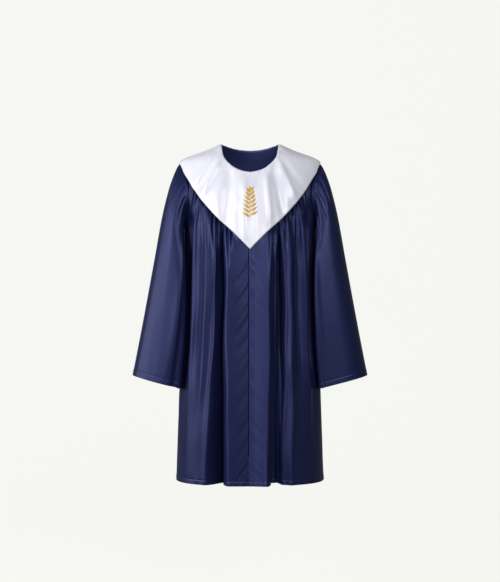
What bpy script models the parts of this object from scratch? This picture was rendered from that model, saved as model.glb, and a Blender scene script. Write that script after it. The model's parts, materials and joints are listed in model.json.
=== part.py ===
"""A child's graduation gown with a white satin V collar, standing open as if worn.

Metres, +Z up. The wearer faces -Y and +X is the wearer's left. The origin is the
middle of the neck opening, level with the points where the neck meets the shoulders.

Every piece of cloth is a grid laid on one plain worn form. A place on the form is given
by its height and by its turn, the angle in degrees from the centre front round to the
side seam (90) and the centre back (180). Relief is how far cloth stands off the form.
"""

import bpy
import numpy as np

MM = 0.001

# Driving sizes, in millimetres.
GOWN_LENGTH = 667.0
CLOTH_WALL = 1.15
MOST_BEND_COSINE = 0.75
SEAM_GAP = 0.35
GATHER_GAP = 1.5
ARMHOLE_TOP = -40.0
ARMHOLE_BOTTOM = -165.0
ARMHOLE_REACH_DEG = 14.0
CHEST_LEVEL = -309.0
SEAM_UNDER_COLLAR = 9.0
GATHER_FADE = 120.0
RIDGE_GAP = 1.0
RIDGE_BLEND = 12.0
SHOULDER_BLEND_DEG = 22.0
ARMHOLE_SPREAD = 1.5
ARMHOLE_BOTTOM_MARGIN = 60.0
SEAM_HALVINGS = 30
ARMHOLE_BLEND = 0.16
ARMHOLE_SPREAD_FROM_DEG = 45.0
ARMHOLE_MARGIN_DEG = 1.5
ARMHOLE_LIFT = 1.05
SLEEVE_OVERLAP = 2.4
SLEEVE_CLEARANCE = 3.0
SLEEVE_GATHER_FADE = 0.35
SLEEVE_EGG = 0.15
COLLAR_LIFT_NECK = 2.8
COLLAR_LIFT_EDGE = 4.6
ZIP_TOP = -62.0
ZIP_END = -560.0
ZIP_TAPE_GAP = 1.2
ZIP_END_MARGIN = 50.0
ZIP_CHAIN_RADIUS = 0.8
ZIP_TAPE_HALF_WIDTH = 11.0

# The worn form: half width, depth in front and behind, and how square the section is.
FORM = {
    "height": (0, -14, -39, -60, -100, -165, -250, -375, -484, -667),
    "half_width": (56, 86, 138, 141, 138, 130, 130, 135, 141, 147),
    "front_depth": (38, 46, 58, 64, 76, 88, 95, 98, 102, 106),
    "back_depth": (40, 53, 70, 78, 88, 95, 96, 97, 99, 102),
    "squareness": (1.45, 1.5, 1.65, 1.8, 2.05, 2.2, 2.2, 2.2, 2.25, 2.3),
}

# The collar's outer edge, by turn: a V in front and a shallower rounded V behind.
COLLAR_EDGE = {
    "turn": (0, 7.7, 20.6, 39.6, 55, 64.8, 78, 90, 102, 118, 140, 162, 180),
    "height": (-212, -199, -178, -149, -119.5, -98, -65, -38.4, -60, -91, -122, -144, -154),
}

# The neck edge, by turn.
NECK_EDGE = {
    "turn": (0, 11, 26, 37.7, 48.2, 60.7, 76, 90, 110, 135, 160, 180),
    "height": (-60, -58, -51.4, -41, -29.4, -15.3, -4.5, 0, -1.5, -4.5, -6.5, -7),
}

# Folds of a panel, outwards from the centre. Each row is a ridge and the trough after it:
# turn of the ridge, its relief and the trough's, at the yoke seam, chest and hem.
FOLD_COLUMNS = (
    "seam_turn", "seam_ridge", "seam_trough",
    "chest_turn", "chest_ridge", "chest_trough",
    "hem_turn", "hem_ridge", "hem_trough",
)

# The wearer's right front, which shows on the left of the photograph.
RIGHT_FRONT_FOLDS = (
    (29.0, 2.0, -3.0, 25.0, 1.0, -22.0, 21.0, 1.0, -39.0),
    (37.4, 0.8, -1.2, 35.4, -9.0, -3.0, 31.5, -39.0, -14.0),
    (43.4, 1.4, -1.6, 38.4, 0.8, -2.2, 44.0, 1.5, 0.5),
    (49.4, 1.2, -1.6, 43.4, -5.0, -2.2, 48.5, 0.0, 0.0),
    (54.8, 1.6, -1.8, 48.6, 0.8, -3.0, 53.0, -0.3, -0.3),
    (60.0, 1.0, -1.6, 56.2, -7.0, -3.0, 57.5, 0.3, 0.6),
    (64.5, 1.6, -1.6, 64.2, 0.8, -4.0, 62.5, 0.8, 0.3),
    (71.0, 0.8, -1.0, 73.5, -9.0, -5.0, 71.0, -0.5, -0.8),
    (80.0, 0.2, 0.0, 82.0, -2.0, -2.0, 81.0, -0.8, -1.0),
)

# The wearer's left front.
LEFT_FRONT_FOLDS = (
    (25.0, 2.0, -2.0, 20.8, 1.0, -8.0, 17.2, 1.0, -37.0),
    (31.0, 1.2, -3.0, 27.8, -3.0, -23.0, 23.5, -36.0, -40.0),
    (38.0, 1.4, -1.2, 39.0, -6.0, -2.5, 31.5, -12.0, -6.0),
    (43.8, 1.6, -1.6, 45.0, 1.0, -2.2, 41.4, 1.5, 0.3),
    (50.0, 1.2, -1.6, 50.8, -5.0, -2.0, 47.0, 0.0, -0.2),
    (55.5, 1.6, -1.6, 57.0, 0.4, 0.0, 53.0, -0.2, -0.2),
    (60.5, 1.0, -1.6, 61.5, 0.6, -4.0, 59.0, 0.0, 0.0),
    (65.5, 1.6, -1.6, 71.5, -9.0, -7.0, 65.0, 0.0, -0.3),
    (71.5, 0.8, -1.0, 76.5, -5.0, -3.0, 73.0, -0.5, -0.8),
    (80.0, 0.2, 0.0, 83.0, -2.0, -2.0, 81.0, -0.8, -1.0),
)

# The back's two halves, by turn from the centre back.
LEFT_BACK_FOLDS = (
    (7.0, 1.4, -1.6, 8.0, 0.0, -9.0, 9.0, 1.5, -15.0),
    (14.0, 1.4, -1.6, 16.0, -3.5, -6.0, 17.0, -11.0, -6.0),
    (21.0, 1.6, -1.8, 24.0, 0.5, -7.0, 26.0, 0.5, -3.0),
    (28.0, 1.2, -1.6, 31.5, -4.0, -6.0, 33.0, -2.0, -4.0),
    (35.0, 1.6, -1.8, 39.0, 0.5, -12.0, 40.0, 1.5, -20.0),
    (42.0, 1.2, -1.6, 46.5, -6.0, -4.0, 48.0, -13.0, -6.0),
    (49.0, 1.6, -1.6, 54.0, 0.0, -6.0, 56.0, 1.0, -3.0),
    (56.0, 1.0, -1.4, 61.0, -4.0, -5.0, 64.0, -1.0, -3.0),
    (64.0, 1.2, -1.2, 69.0, -0.5, -3.0, 72.0, 0.5, -2.0),
    (74.0, 0.4, 0.0, 79.0, -1.0, -2.5, 81.0, 0.0, -1.5),
)

RIGHT_BACK_FOLDS = (
    (7.0, 1.4, -1.6, 7.0, -0.5, -7.0, 8.0, -1.0, -6.0),
    (14.0, 1.6, -1.4, 15.0, 0.5, -8.0, 17.0, 1.5, -17.0),
    (21.0, 1.2, -1.8, 22.5, -4.5, -5.0, 25.0, -12.0, -5.0),
    (28.0, 1.6, -1.6, 30.0, 0.0, -9.0, 33.5, 1.0, -6.0),
    (35.0, 1.4, -1.6, 38.0, -5.0, -6.0, 41.0, -4.0, -3.0),
    (42.0, 1.6, -1.8, 45.5, 0.5, -11.0, 49.0, 1.0, -18.0),
    (49.0, 1.2, -1.4, 53.0, -5.0, -4.0, 57.0, -11.0, -5.0),
    (56.0, 1.4, -1.4, 61.5, 0.0, -6.0, 65.0, 1.0, -3.0),
    (64.0, 1.0, -1.2, 70.0, -2.5, -3.5, 73.0, -0.5, -2.5),
    (74.0, 0.4, 0.0, 79.0, -1.0, -2.5, 81.0, 0.0, -1.5),
)

# The sleeve's outer and inner lines, from the armhole to the cuff, and its half depth. Its
# inner side is the squarer and deeper one and lies against the body, whose form limits it.
SLEEVE = {
    "share": (0, 0.06, 0.13, 0.27, 0.46, 0.72, 1),
    "outer_x": (139.5, 150, 158, 174, 190, 211.5, 234),
    "outer_z": (-42, -50, -75, -138, -226, -343, -459),
    "inner_x": (131.5, 129, 127, 124.5, 123, 124, 129),
    "inner_z": (-166, -184, -208, -246, -305, -392, -485),
    "half_depth": (33, 38, 43, 50, 53, 55, 55),
    "outer_squareness": (2, 2.1, 2.3, 2.5, 2.6, 2.6, 2.5),
    "inner_squareness": (2, 2.4, 3, 3.6, 3.8, 3.6, 3.2),
}

# Folds of a sleeve: round it from its outer line (0) by the front (90) and inner line (180),
# how wide in degrees, and the relief at the armhole, the elbow and the cuff.
SLEEVE_FOLD_COLUMNS = ("place", "width", "armhole", "elbow", "cuff")
RIGHT_SLEEVE_FOLDS = (
    (12, 9, 1.4, 0.3, 0.2),
    (34, 9, 1.4, 0.4, 0.4),
    (57, 10, 1.2, -0.6, -0.8),
    (84, 22, 0.4, 1.6, 1.8),
    (116, 10, 0.8, -2.4, -2.4),
    (140, 10, 0.6, 2.2, 0.8),
    (215, 14, 0.0, 1.8, 1.6),
    (246, 11, 0.6, -2.6, -2.6),
    (275, 20, 0.6, 1.4, 1.8),
    (305, 12, 1.0, -1.4, -1.2),
    (328, 9, 1.4, 0.5, 0.3),
    (349, 9, 1.4, 0.3, 0.2),
)
LEFT_SLEEVE_FOLDS = (
    (12, 9, 1.4, 0.3, 0.2),
    (34, 9, 1.4, 0.2, 0.1),
    (60, 11, 1.2, 0.2, 0.1),
    (92, 22, 0.4, -0.8, -0.8),
    (133, 12, 0.8, 3.0, 3.0),
    (152, 8, 0.2, -1.0, -1.6),
    (212, 14, 0.0, 1.6, 1.8),
    (243, 11, 0.6, -2.4, -2.2),
    (272, 20, 0.6, 1.8, 1.4),
    (304, 12, 1.0, -1.0, -1.4),
    (328, 9, 1.4, 0.4, 0.3),
    (349, 9, 1.4, 0.3, 0.2),
)

# Soft waves of the collar, by signed turn, with + on the wearer's left.
COLLAR_WAVES = {
    "turn": (-130, -66, -46, -33, -18, 0, 14, 27, 41, 58, 128),
    "width": (30, 8, 7, 6, 7, 8, 6, 6, 7, 9, 30),
    "relief": (0.6, 0.9, -0.8, 0.9, -0.7, 0.8, -0.6, 0.8, -0.9, 0.9, 0.6),
}

# How finely the solids are cut.
COLUMNS_PER_FOLD = 4
BAND_COLUMNS = 3
FRONT_ROWS = 17
BACK_ROWS = 11
ROW_CROWDING = 1.45
SLEEVE_ROWS = 14
SLEEVE_COLUMNS = 32
SLEEVE_CROWDING = 1.25
COLLAR_COLUMNS = 64
COLLAR_ROWS = 7
COLLAR_CROWDING_DEG = 14.0
YOKE_ROWS = 6
BACK_YOKE_ROWS = 5
YOKE_COLUMN_STEP = 2
ZIP_ROWS = 14


def along(stations, values, at):
    """A smooth curve through the values that never overshoots them."""
    x = np.asarray(stations, float)
    y = np.asarray(values, float)
    if x[0] > x[-1]:
        x, y = x[::-1], y[::-1]
    step = np.diff(x)
    slope = np.diff(y) / step
    tangent = np.zeros(len(x))
    tangent[0], tangent[-1] = slope[0], slope[-1]
    same_way = slope[:-1] * slope[1:] > 0
    weight_a, weight_b = 2 * step[1:] + step[:-1], step[1:] + 2 * step[:-1]
    safe_a = np.where(same_way, slope[:-1], 1)
    safe_b = np.where(same_way, slope[1:], 1)
    mean = (weight_a + weight_b) / (weight_a / safe_a + weight_b / safe_b)
    tangent[1:-1] = np.where(same_way, mean, 0)
    at = np.clip(np.asarray(at, float), x[0], x[-1])
    i = np.clip(np.searchsorted(x, at, side="right") - 1, 0, len(x) - 2)
    h = step[i]
    t = (at - x[i]) / h
    return (
        y[i] * (1 + 2 * t) * (1 - t) ** 2
        + y[i + 1] * t * t * (3 - 2 * t)
        + h * tangent[i] * t * (1 - t) ** 2
        - h * tangent[i + 1] * t * t * (1 - t)
    )


def ease(t):
    """0 to 1 with a level start and end."""
    t = np.clip(t, 0, 1)
    return t * t * (3 - 2 * t)


def form_sections(z):
    """Half width, front depth, back depth and squareness at heights z."""
    names = ("half_width", "front_depth", "back_depth", "squareness")
    return [along(FORM["height"], FORM[name], z) for name in names]


def on_form(turn, z):
    """Points of the worn form, by signed turn in degrees and height."""
    turn, z = np.broadcast_arrays(np.asarray(turn, float), np.asarray(z, float))
    half_width, front, back, square = form_sections(z)
    sine, cosine = np.sin(np.radians(turn)), np.cos(np.radians(turn))
    depth = np.where(cosine >= 0, front, back)
    reach = (
        np.abs(sine / half_width) ** square + np.abs(cosine / depth) ** square
    ) ** (-1 / square)
    return np.stack([reach * sine, -reach * cosine, z], axis=-1)


def form_normals(turn, z):
    """Outward normals of the form, in three dimensions."""
    small_turn, small_z = 0.05, 0.05
    high = np.minimum(z + small_z, -1e-6)
    round_it = on_form(turn + small_turn, z) - on_form(turn - small_turn, z)
    up_it = on_form(turn, high) - on_form(turn, high - 2 * small_z)
    normal = np.cross(round_it, up_it)
    return normal / np.linalg.norm(normal, axis=-1, keepdims=True)


def off_form(turn, z, relief):
    """Points that stand off the form by the relief."""
    turn, z, relief = np.broadcast_arrays(turn, z, relief)
    relief = relief.astype(float)
    return on_form(turn, z) + form_normals(turn, z) * relief[..., None]


def form_half_width_at(y, z):
    """The form's half width at depth y and height z."""
    half_width, front, back, square = form_sections(z)
    depth = np.where(y <= 0, front, back)
    inside = np.clip(1 - np.abs(y / depth) ** square, 0, 1)
    return half_width * inside ** (1 / square)


def corners(facets_array, rows, columns, closed_round):
    """Each facet's value as seen from its four corners, with the corners' own slices."""
    for down in (0, 1):
        for across in (0, 1):
            if closed_round:
                yield np.s_[down : down + rows - 1], np.roll(facets_array, across, axis=1)
            else:
                yield (
                    np.s_[down : down + rows - 1, across : across + columns - 1],
                    facets_array,
                )


def inner_face(grid, closed_round):
    """The grid moved in by the cloth's wall, a little more where the cloth bends."""
    rows, columns = grid.shape[:2]
    ring = np.concatenate([grid, grid[:, :1]], axis=1) if closed_round else grid
    facet = np.cross(ring[1:, 1:] - ring[:-1, :-1], ring[:-1, 1:] - ring[1:, :-1])
    facet = facet / np.linalg.norm(facet, axis=-1, keepdims=True)
    normal = np.zeros_like(grid)
    for place, beside in corners(facet, rows, columns, closed_round):
        normal[place] += beside
    normal = normal / np.linalg.norm(normal, axis=-1, keepdims=True)
    least = np.ones((rows, columns))
    for place, beside in corners(facet, rows, columns, closed_round):
        cosine = (normal[place] * beside).sum(axis=-1)
        least[place] = np.minimum(least[place], cosine)
    return grid - normal * CLOTH_WALL / np.maximum(least, MOST_BEND_COSINE)[..., None]


def rim_loops(rows, columns, closed_round):
    """The free edges of a grid, each as a loop of its points, with the cloth on the left."""
    index = np.arange(rows * columns).reshape(rows, columns)
    if closed_round:
        return [index[-1], index[0, ::-1]]
    sides = (index[:-1, 0], index[-1, :-1], index[:0:-1, -1], index[0, :0:-1])
    return [np.concatenate(sides)]


def cloth(name, grid, material, parent, closed_round=False):
    """A wall of cloth whose outer face is the grid: rows go down and columns go round."""
    rows, columns = grid.shape[:2]
    spans = columns if closed_round else columns - 1
    outer = [
        (
            r * columns + c,
            (r + 1) * columns + c,
            (r + 1) * columns + (c + 1) % columns,
            r * columns + (c + 1) % columns,
        )
        for r in range(rows - 1)
        for c in range(spans)
    ]
    inside = rows * columns
    inner = [(a + inside, d + inside, c + inside, b + inside) for a, b, c, d in outer]
    rim = [
        (int(b), int(a), int(a) + inside, int(b) + inside)
        for loop in rim_loops(rows, columns, closed_round)
        for a, b in zip(loop, np.roll(loop, -1))
    ]
    points = np.concatenate([grid, inner_face(grid, closed_round)]).reshape(-1, 3)
    mesh = bpy.data.meshes.new(name)
    mesh.from_pydata((points * MM).tolist(), [], outer + inner + rim)
    mesh.materials.append(material)
    mesh.shade_smooth()
    piece = bpy.data.objects.new(name, mesh)
    parent.users_collection[0].objects.link(piece)
    piece.parent = parent
    return piece


def cloth_material(name, colour, roughness):
    material = bpy.data.materials.new(name)
    material.use_nodes = True
    shader = material.node_tree.nodes["Principled BSDF"]
    shader.inputs["Base Color"].default_value = (*colour, 1)
    shader.inputs["Roughness"].default_value = roughness
    shader.inputs["Metallic"].default_value = 0
    return material


def yoke_seam_height(turn):
    """The seam between yoke and gathered cloth, hidden just above the collar's edge."""
    edge = along(COLLAR_EDGE["turn"], COLLAR_EDGE["height"], np.abs(turn))
    corner = along(COLLAR_EDGE["turn"], COLLAR_EDGE["height"], 90)
    near_shoulder = 1 - ease(np.abs(np.abs(turn) - 90) / SHOULDER_BLEND_DEG)
    rise = SEAM_UNDER_COLLAR + (ARMHOLE_TOP - corner - SEAM_UNDER_COLLAR) * near_shoulder
    return edge + rise


def armhole_reach(z):
    """How far the armhole reaches forwards and backwards at a height, in degrees."""
    share_down = np.clip((ARMHOLE_TOP - z) / (ARMHOLE_TOP - ARMHOLE_BOTTOM), 0, 1)
    return ARMHOLE_REACH_DEG * np.sin(np.pi * share_down)


def beside_armhole(turn, z):
    """Turns from the centre, drawn in so that the last one runs along the armhole."""
    spread = np.clip(turn / ARMHOLE_SPREAD_FROM_DEG - 1, 0, 1) ** ARMHOLE_SPREAD
    return turn - armhole_reach(z) * spread


def seam_top(turn, from_back):
    """Where each column starts on the yoke seam, found by halving the range of heights."""
    low = np.full_like(turn, ARMHOLE_BOTTOM - ARMHOLE_BOTTOM_MARGIN)
    high = np.full_like(turn, ARMHOLE_TOP)
    for _ in range(SEAM_HALVINGS):
        middle = (low + high) / 2
        drawn = beside_armhole(turn, middle)
        under = middle < yoke_seam_height(180 - drawn if from_back else drawn)
        low = np.where(under, middle, low)
        high = np.where(under, high, middle)
    return low


def shoulder_margin(turn, z):
    """Shrinks turns a little, so that front and back cloth don't cross on the ridge."""
    half_width = form_sections(z)[0]
    gap = np.where(z > ARMHOLE_TOP - RIDGE_BLEND, RIDGE_GAP, SEAM_GAP)
    return turn * (1 - np.degrees(gap / half_width) / 90)


def fold_stations(folds, level):
    """Turns and reliefs of a panel's columns at one level, from its centre to its side."""
    table = np.array(folds, float)
    column = {name: i for i, name in enumerate(FOLD_COLUMNS)}
    ridges = table[:, column[level + "_turn"]]
    after = np.append(ridges[1:], 90.0)
    turns, reliefs = [0.0], [0.0]
    for row, ridge, following in zip(table, ridges, after):
        turns += [ridge, (ridge + following) / 2]
        reliefs += [row[column[level + "_ridge"]], row[column[level + "_trough"]]]
    turns.append(90.0)
    reliefs.append(0.0)
    turns, reliefs = np.array(turns), np.array(reliefs)
    flat_band = np.linspace(0, 1, BAND_COLUMNS, endpoint=False)
    folded = np.arange(1, len(turns) - 1, 2 / COLUMNS_PER_FOLD)
    station = np.concatenate([flat_band, folded, [len(turns) - 1]])
    whole = np.clip(np.floor(station).astype(int), 0, len(turns) - 2)
    rise = reliefs[whole + 1] - reliefs[whole]
    turn = np.interp(station, np.arange(len(turns)), turns)
    return turn, reliefs[whole] + rise * ease(station - whole)


def panel_grid(folds, rows, sign, from_back=False):
    """A gathered panel from the yoke seam to the hem, from its centre to the side seam."""
    seam_turn, seam_relief = fold_stations(folds, "seam")
    chest_turn, chest_relief = fold_stations(folds, "chest")
    hem_turn, hem_relief = fold_stations(folds, "hem")
    top = seam_top(seam_turn, from_back) - GATHER_GAP
    share_down = np.linspace(0, 1, rows) ** ROW_CROWDING
    z = top[None, :] + (-GOWN_LENGTH - top[None, :]) * share_down[:, None]
    to_chest = ease((top - z) / GATHER_FADE)
    to_hem = ease((z - CHEST_LEVEL) / (-GOWN_LENGTH - CHEST_LEVEL))
    turn = seam_turn + (chest_turn - seam_turn) * to_chest
    turn = turn + (hem_turn - chest_turn) * to_hem
    relief = seam_relief + (chest_relief - seam_relief) * to_chest
    relief = relief + (hem_relief - chest_relief) * to_hem
    turn = shoulder_margin(beside_armhole(turn, z), z)
    points = off_form(sign * (180 - turn if from_back else turn), z, relief)
    return points


def clear_zip(points, sign):
    """Moves a front's centre edge aside, to leave room for the zip's chain."""
    beside_zip = points[..., 2] > ZIP_END - ZIP_END_MARGIN
    gap = np.where(beside_zip, ZIP_CHAIN_RADIUS + SEAM_GAP, SEAM_GAP / 2)
    near_centre = 1 - ease(np.abs(points[..., 0]) / ZIP_TAPE_HALF_WIDTH)
    points[..., 0] += sign * gap * near_centre
    return points


def build_front(name, folds, sign, material, parent):
    grid = clear_zip(panel_grid(folds, FRONT_ROWS, sign), sign)
    return cloth(name, grid if sign > 0 else grid[:, ::-1], material, parent)


def build_back(material, parent):
    left = panel_grid(LEFT_BACK_FOLDS, BACK_ROWS, 1, from_back=True)
    right = panel_grid(RIGHT_BACK_FOLDS, BACK_ROWS, -1, from_back=True)
    grid = np.concatenate([left[:, ::-1], right[:, 1:]], axis=1)
    return cloth("back", grid, material, parent)


def yoke_grid(folds, rows, sign, from_back=False):
    """Half a yoke, flat on the form between the neck edge and the seam, from its centre."""
    turn = fold_stations(folds, "seam")[0]
    turn = np.append(turn[:-1:YOKE_COLUMN_STEP], turn[-1])
    from_front = 180 - turn if from_back else turn
    neck = along(NECK_EDGE["turn"], NECK_EDGE["height"], from_front)
    seam = yoke_seam_height(from_front)
    z = neck + (seam - neck) * np.linspace(0, 1, rows)[:, None]
    turn = shoulder_margin(turn, z)
    return off_form(sign * (180 - turn if from_back else turn), z, 0.0)


def build_front_yoke(name, folds, sign, material, parent):
    grid = clear_zip(yoke_grid(folds, YOKE_ROWS, sign), sign)
    return cloth(name, grid if sign > 0 else grid[:, ::-1], material, parent)


def build_back_yoke(material, parent):
    left = yoke_grid(LEFT_BACK_FOLDS, BACK_YOKE_ROWS, 1, from_back=True)
    right = yoke_grid(RIGHT_BACK_FOLDS, BACK_YOKE_ROWS, -1, from_back=True)
    grid = np.concatenate([left[:, ::-1], right[:, 1:]], axis=1)
    return cloth("back_yoke", grid, material, parent)


def collar_waves(turn):
    waves = zip(COLLAR_WAVES["turn"], COLLAR_WAVES["width"], COLLAR_WAVES["relief"])
    return sum(r * np.exp(-(((turn - t) / w) ** 2)) for t, w, r in waves)


def build_collar(material, parent):
    """A V collar in one round, laid over the yokes from the neck edge outwards."""
    step = np.linspace(-180, 180, COLLAR_COLUMNS, endpoint=False)
    turn = step + COLLAR_CROWDING_DEG * np.sin(np.radians(2 * step))
    neck = along(NECK_EDGE["turn"], NECK_EDGE["height"], np.abs(turn))
    edge = along(COLLAR_EDGE["turn"], COLLAR_EDGE["height"], np.abs(turn))
    share_down = np.linspace(0, 1, COLLAR_ROWS)[:, None]
    z = neck + (edge - neck) * share_down
    lift = COLLAR_LIFT_NECK + (COLLAR_LIFT_EDGE - COLLAR_LIFT_NECK) * ease(share_down)
    relief = lift + collar_waves(turn) * ease(share_down * 2)
    return cloth("collar", off_form(turn, z, relief), material, parent, closed_round=True)


def armhole_loop(around, sign):
    """The loop where a sleeve is sewn on, just off the body cloth and a little larger."""
    middle = (ARMHOLE_TOP + ARMHOLE_BOTTOM) / 2
    half = (ARMHOLE_TOP - ARMHOLE_BOTTOM) / 2 + SLEEVE_OVERLAP
    z = middle + half * np.cos(around)
    reach = armhole_reach(z) + ARMHOLE_MARGIN_DEG * np.abs(np.sin(around))
    turn = 90 - np.sign(np.sin(around)) * reach
    over_shoulder = CLOTH_WALL * ease(2 * np.cos(around) - 1)
    return off_form(sign * turn, z, ARMHOLE_LIFT + over_shoulder)


def sleeve_relief(folds, around, share):
    fold = dict(zip(SLEEVE_FOLD_COLUMNS, np.array(folds, float).T))
    apart = (np.degrees(around)[..., None] - fold["place"] + 180) % 360 - 180
    to_elbow = ease(share / SLEEVE_GATHER_FADE)[..., None]
    to_cuff = ease(share * 2 - 1)[..., None]
    height = fold["armhole"] + (fold["elbow"] - fold["armhole"]) * to_elbow
    height = height + (fold["cuff"] - fold["elbow"]) * to_cuff
    return (height * np.exp(-((apart / fold["width"]) ** 2))).sum(axis=-1)


def sleeve_grid(folds, sign):
    """Rings of a bell sleeve from the armhole to the cuff."""
    share = np.linspace(0, 1, SLEEVE_ROWS)[:, None] ** SLEEVE_CROWDING
    around = np.radians(np.linspace(0, 360, SLEEVE_COLUMNS, endpoint=False))
    share, around = np.broadcast_arrays(share, around[None, :])
    line = {name: along(SLEEVE["share"], SLEEVE[name], share) for name in SLEEVE}
    outer_side = np.cos(around) >= 0
    power = 2 / np.where(outer_side, line["outer_squareness"], line["inner_squareness"])
    across = np.sign(np.cos(around)) * np.abs(np.cos(around)) ** power
    forward = np.sign(np.sin(around)) * np.abs(np.sin(around)) ** power
    relief = sleeve_relief(folds, around, share)
    half_x = (line["outer_x"] - line["inner_x"]) / 2
    half_z = (line["outer_z"] - line["inner_z"]) / 2
    grow = 1 + relief / np.hypot(np.hypot(half_x, half_z) * across, line["half_depth"] * forward)
    x = (line["outer_x"] + line["inner_x"]) / 2 + half_x * across * grow
    z = (line["outer_z"] + line["inner_z"]) / 2 + half_z * across * grow
    y = -line["half_depth"] * forward * grow * (1 - SLEEVE_EGG * across)
    free = np.stack([sign * x, y, z], axis=-1)
    from_body = ease(share / ARMHOLE_BLEND)[..., None]
    grid = armhole_loop(around, sign) * (1 - from_body) + free * from_body
    clear = ARMHOLE_LIFT + CLOTH_WALL + SLEEVE_CLEARANCE * ease(share / ARMHOLE_BLEND)
    limit = form_half_width_at(grid[..., 1], np.minimum(grid[..., 2], 0)) + clear
    outside = np.maximum(np.abs(grid[..., 0]), limit)
    grid[1:, :, 0] = sign * outside[1:]
    return grid


def build_sleeve(name, folds, sign, material, parent):
    grid = sleeve_grid(folds, sign)
    if sign > 0:
        grid = grid[:, ::-1]
    return cloth(name, grid, material, parent, closed_round=True)


def build_zip_tape(material, parent):
    x_share = np.linspace(-1, 1, 5)
    z = np.linspace(ZIP_TOP, ZIP_END, ZIP_ROWS)[:, None]
    front_depth = form_sections(z)[1]
    turn = np.degrees(np.arctan2(x_share * ZIP_TAPE_HALF_WIDTH, front_depth))
    grid = off_form(turn, z, -CLOTH_WALL - ZIP_TAPE_GAP)
    return cloth("zip_tape", grid, material, parent)


def build_zip_chain(material, parent):
    """The closed teeth, a slim cord between the two front edges."""
    heights = np.linspace(ZIP_TOP, ZIP_END, ZIP_ROWS)
    centre = off_form(0.0, heights, -ZIP_CHAIN_RADIUS / 2)
    curve = bpy.data.curves.new("zip_chain", "CURVE")
    curve.dimensions = "3D"
    curve.bevel_depth = ZIP_CHAIN_RADIUS * MM
    curve.bevel_resolution = 1
    curve.use_fill_caps = True
    spline = curve.splines.new("POLY")
    spline.points.add(len(centre) - 1)
    for point, place in zip(spline.points, centre * MM):
        point.co = (*place, 1)
    curve.materials.append(material)
    chain = bpy.data.objects.new("zip_chain", curve)
    parent.users_collection[0].objects.link(chain)
    chain.parent = parent
    return chain


def clear_scene():
    for obj in list(bpy.data.objects):
        bpy.data.objects.remove(obj)


def main():
    clear_scene()
    parts = bpy.data.collections.new("graduation_gown")
    bpy.context.scene.collection.children.link(parts)
    gown = bpy.data.objects.new("gown", None)
    parts.objects.link(gown)
    navy = cloth_material("navy_satin", (0.016, 0.02, 0.075), 0.42)
    white = cloth_material("white_satin", (0.86, 0.86, 0.9), 0.35)
    zip_navy = cloth_material("zip_navy", (0.012, 0.015, 0.05), 0.5)
    build_front("front_right", RIGHT_FRONT_FOLDS, -1, navy, gown)
    build_front("front_left", LEFT_FRONT_FOLDS, 1, navy, gown)
    build_back(navy, gown)
    build_front_yoke("front_yoke_right", RIGHT_FRONT_FOLDS, -1, navy, gown)
    build_front_yoke("front_yoke_left", LEFT_FRONT_FOLDS, 1, navy, gown)
    build_back_yoke(navy, gown)
    build_collar(white, gown)
    build_sleeve("sleeve_right", RIGHT_SLEEVE_FOLDS, -1, navy, gown)
    build_sleeve("sleeve_left", LEFT_SLEEVE_FOLDS, 1, navy, gown)
    build_zip_tape(zip_navy, gown)
    build_zip_chain(zip_navy, gown)


main()
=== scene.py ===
# A child's graduation gown in navy satin with a white satin V collar, filled out as if worn.
# Sizes are in millimetres until a mesh is made. The wearer faces -Y and +X is the wearer's left.
# A place on the worn form is given by its height and by its turn, the angle in degrees from the
# centre front round to the side seam (90) and the centre back (180). Relief is how far the cloth
# stands off the form.

import json

import bpy
import numpy as np
from mathutils import Matrix, Vector
from mathutils.bvhtree import BVHTree

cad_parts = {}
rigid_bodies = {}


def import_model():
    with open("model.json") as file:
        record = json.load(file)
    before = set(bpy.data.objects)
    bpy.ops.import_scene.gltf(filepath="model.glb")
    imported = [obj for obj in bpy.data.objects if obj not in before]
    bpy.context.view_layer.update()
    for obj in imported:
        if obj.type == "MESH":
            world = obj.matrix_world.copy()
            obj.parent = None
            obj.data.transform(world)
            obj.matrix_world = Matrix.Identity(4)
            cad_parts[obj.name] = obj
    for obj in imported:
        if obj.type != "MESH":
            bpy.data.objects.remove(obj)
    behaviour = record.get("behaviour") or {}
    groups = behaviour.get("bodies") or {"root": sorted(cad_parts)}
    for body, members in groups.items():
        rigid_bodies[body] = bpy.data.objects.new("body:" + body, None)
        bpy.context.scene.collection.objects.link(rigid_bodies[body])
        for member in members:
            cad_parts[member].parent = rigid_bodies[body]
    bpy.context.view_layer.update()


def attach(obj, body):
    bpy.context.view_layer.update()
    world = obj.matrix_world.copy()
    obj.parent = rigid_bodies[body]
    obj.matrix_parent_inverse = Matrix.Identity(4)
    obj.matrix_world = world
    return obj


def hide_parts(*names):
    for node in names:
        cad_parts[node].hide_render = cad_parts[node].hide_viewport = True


for leftover in list(bpy.data.objects):
    bpy.data.objects.remove(leftover)

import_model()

MM = 0.001

# Driving sizes, in millimetres.
GOWN_LENGTH = 667.0
CLOTH_WALL = 1.15
MOST_BEND_COSINE = 0.75
SEAM_GAP = 0.35
GATHER_GAP = 1.5
ARMHOLE_TOP = -40.0
ARMHOLE_BOTTOM = -165.0
ARMHOLE_REACH_DEG = 14.0
CHEST_LEVEL = -309.0
SEAM_UNDER_COLLAR = 9.0
GATHER_FADE = 120.0
RIDGE_GAP = 1.0
RIDGE_BLEND = 12.0
SHOULDER_BLEND_DEG = 22.0
ARMHOLE_SPREAD = 1.5
ARMHOLE_BOTTOM_MARGIN = 60.0
SEAM_HALVINGS = 30
ARMHOLE_BLEND = 0.16
ARMHOLE_SPREAD_FROM_DEG = 45.0
ARMHOLE_MARGIN_DEG = 1.5
ARMHOLE_LIFT = 1.05
SLEEVE_OVERLAP = 2.4
SLEEVE_CLEARANCE = 3.0
SLEEVE_GATHER_FADE = 0.35
SLEEVE_EGG = 0.15
COLLAR_LIFT_NECK = 2.8
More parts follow.
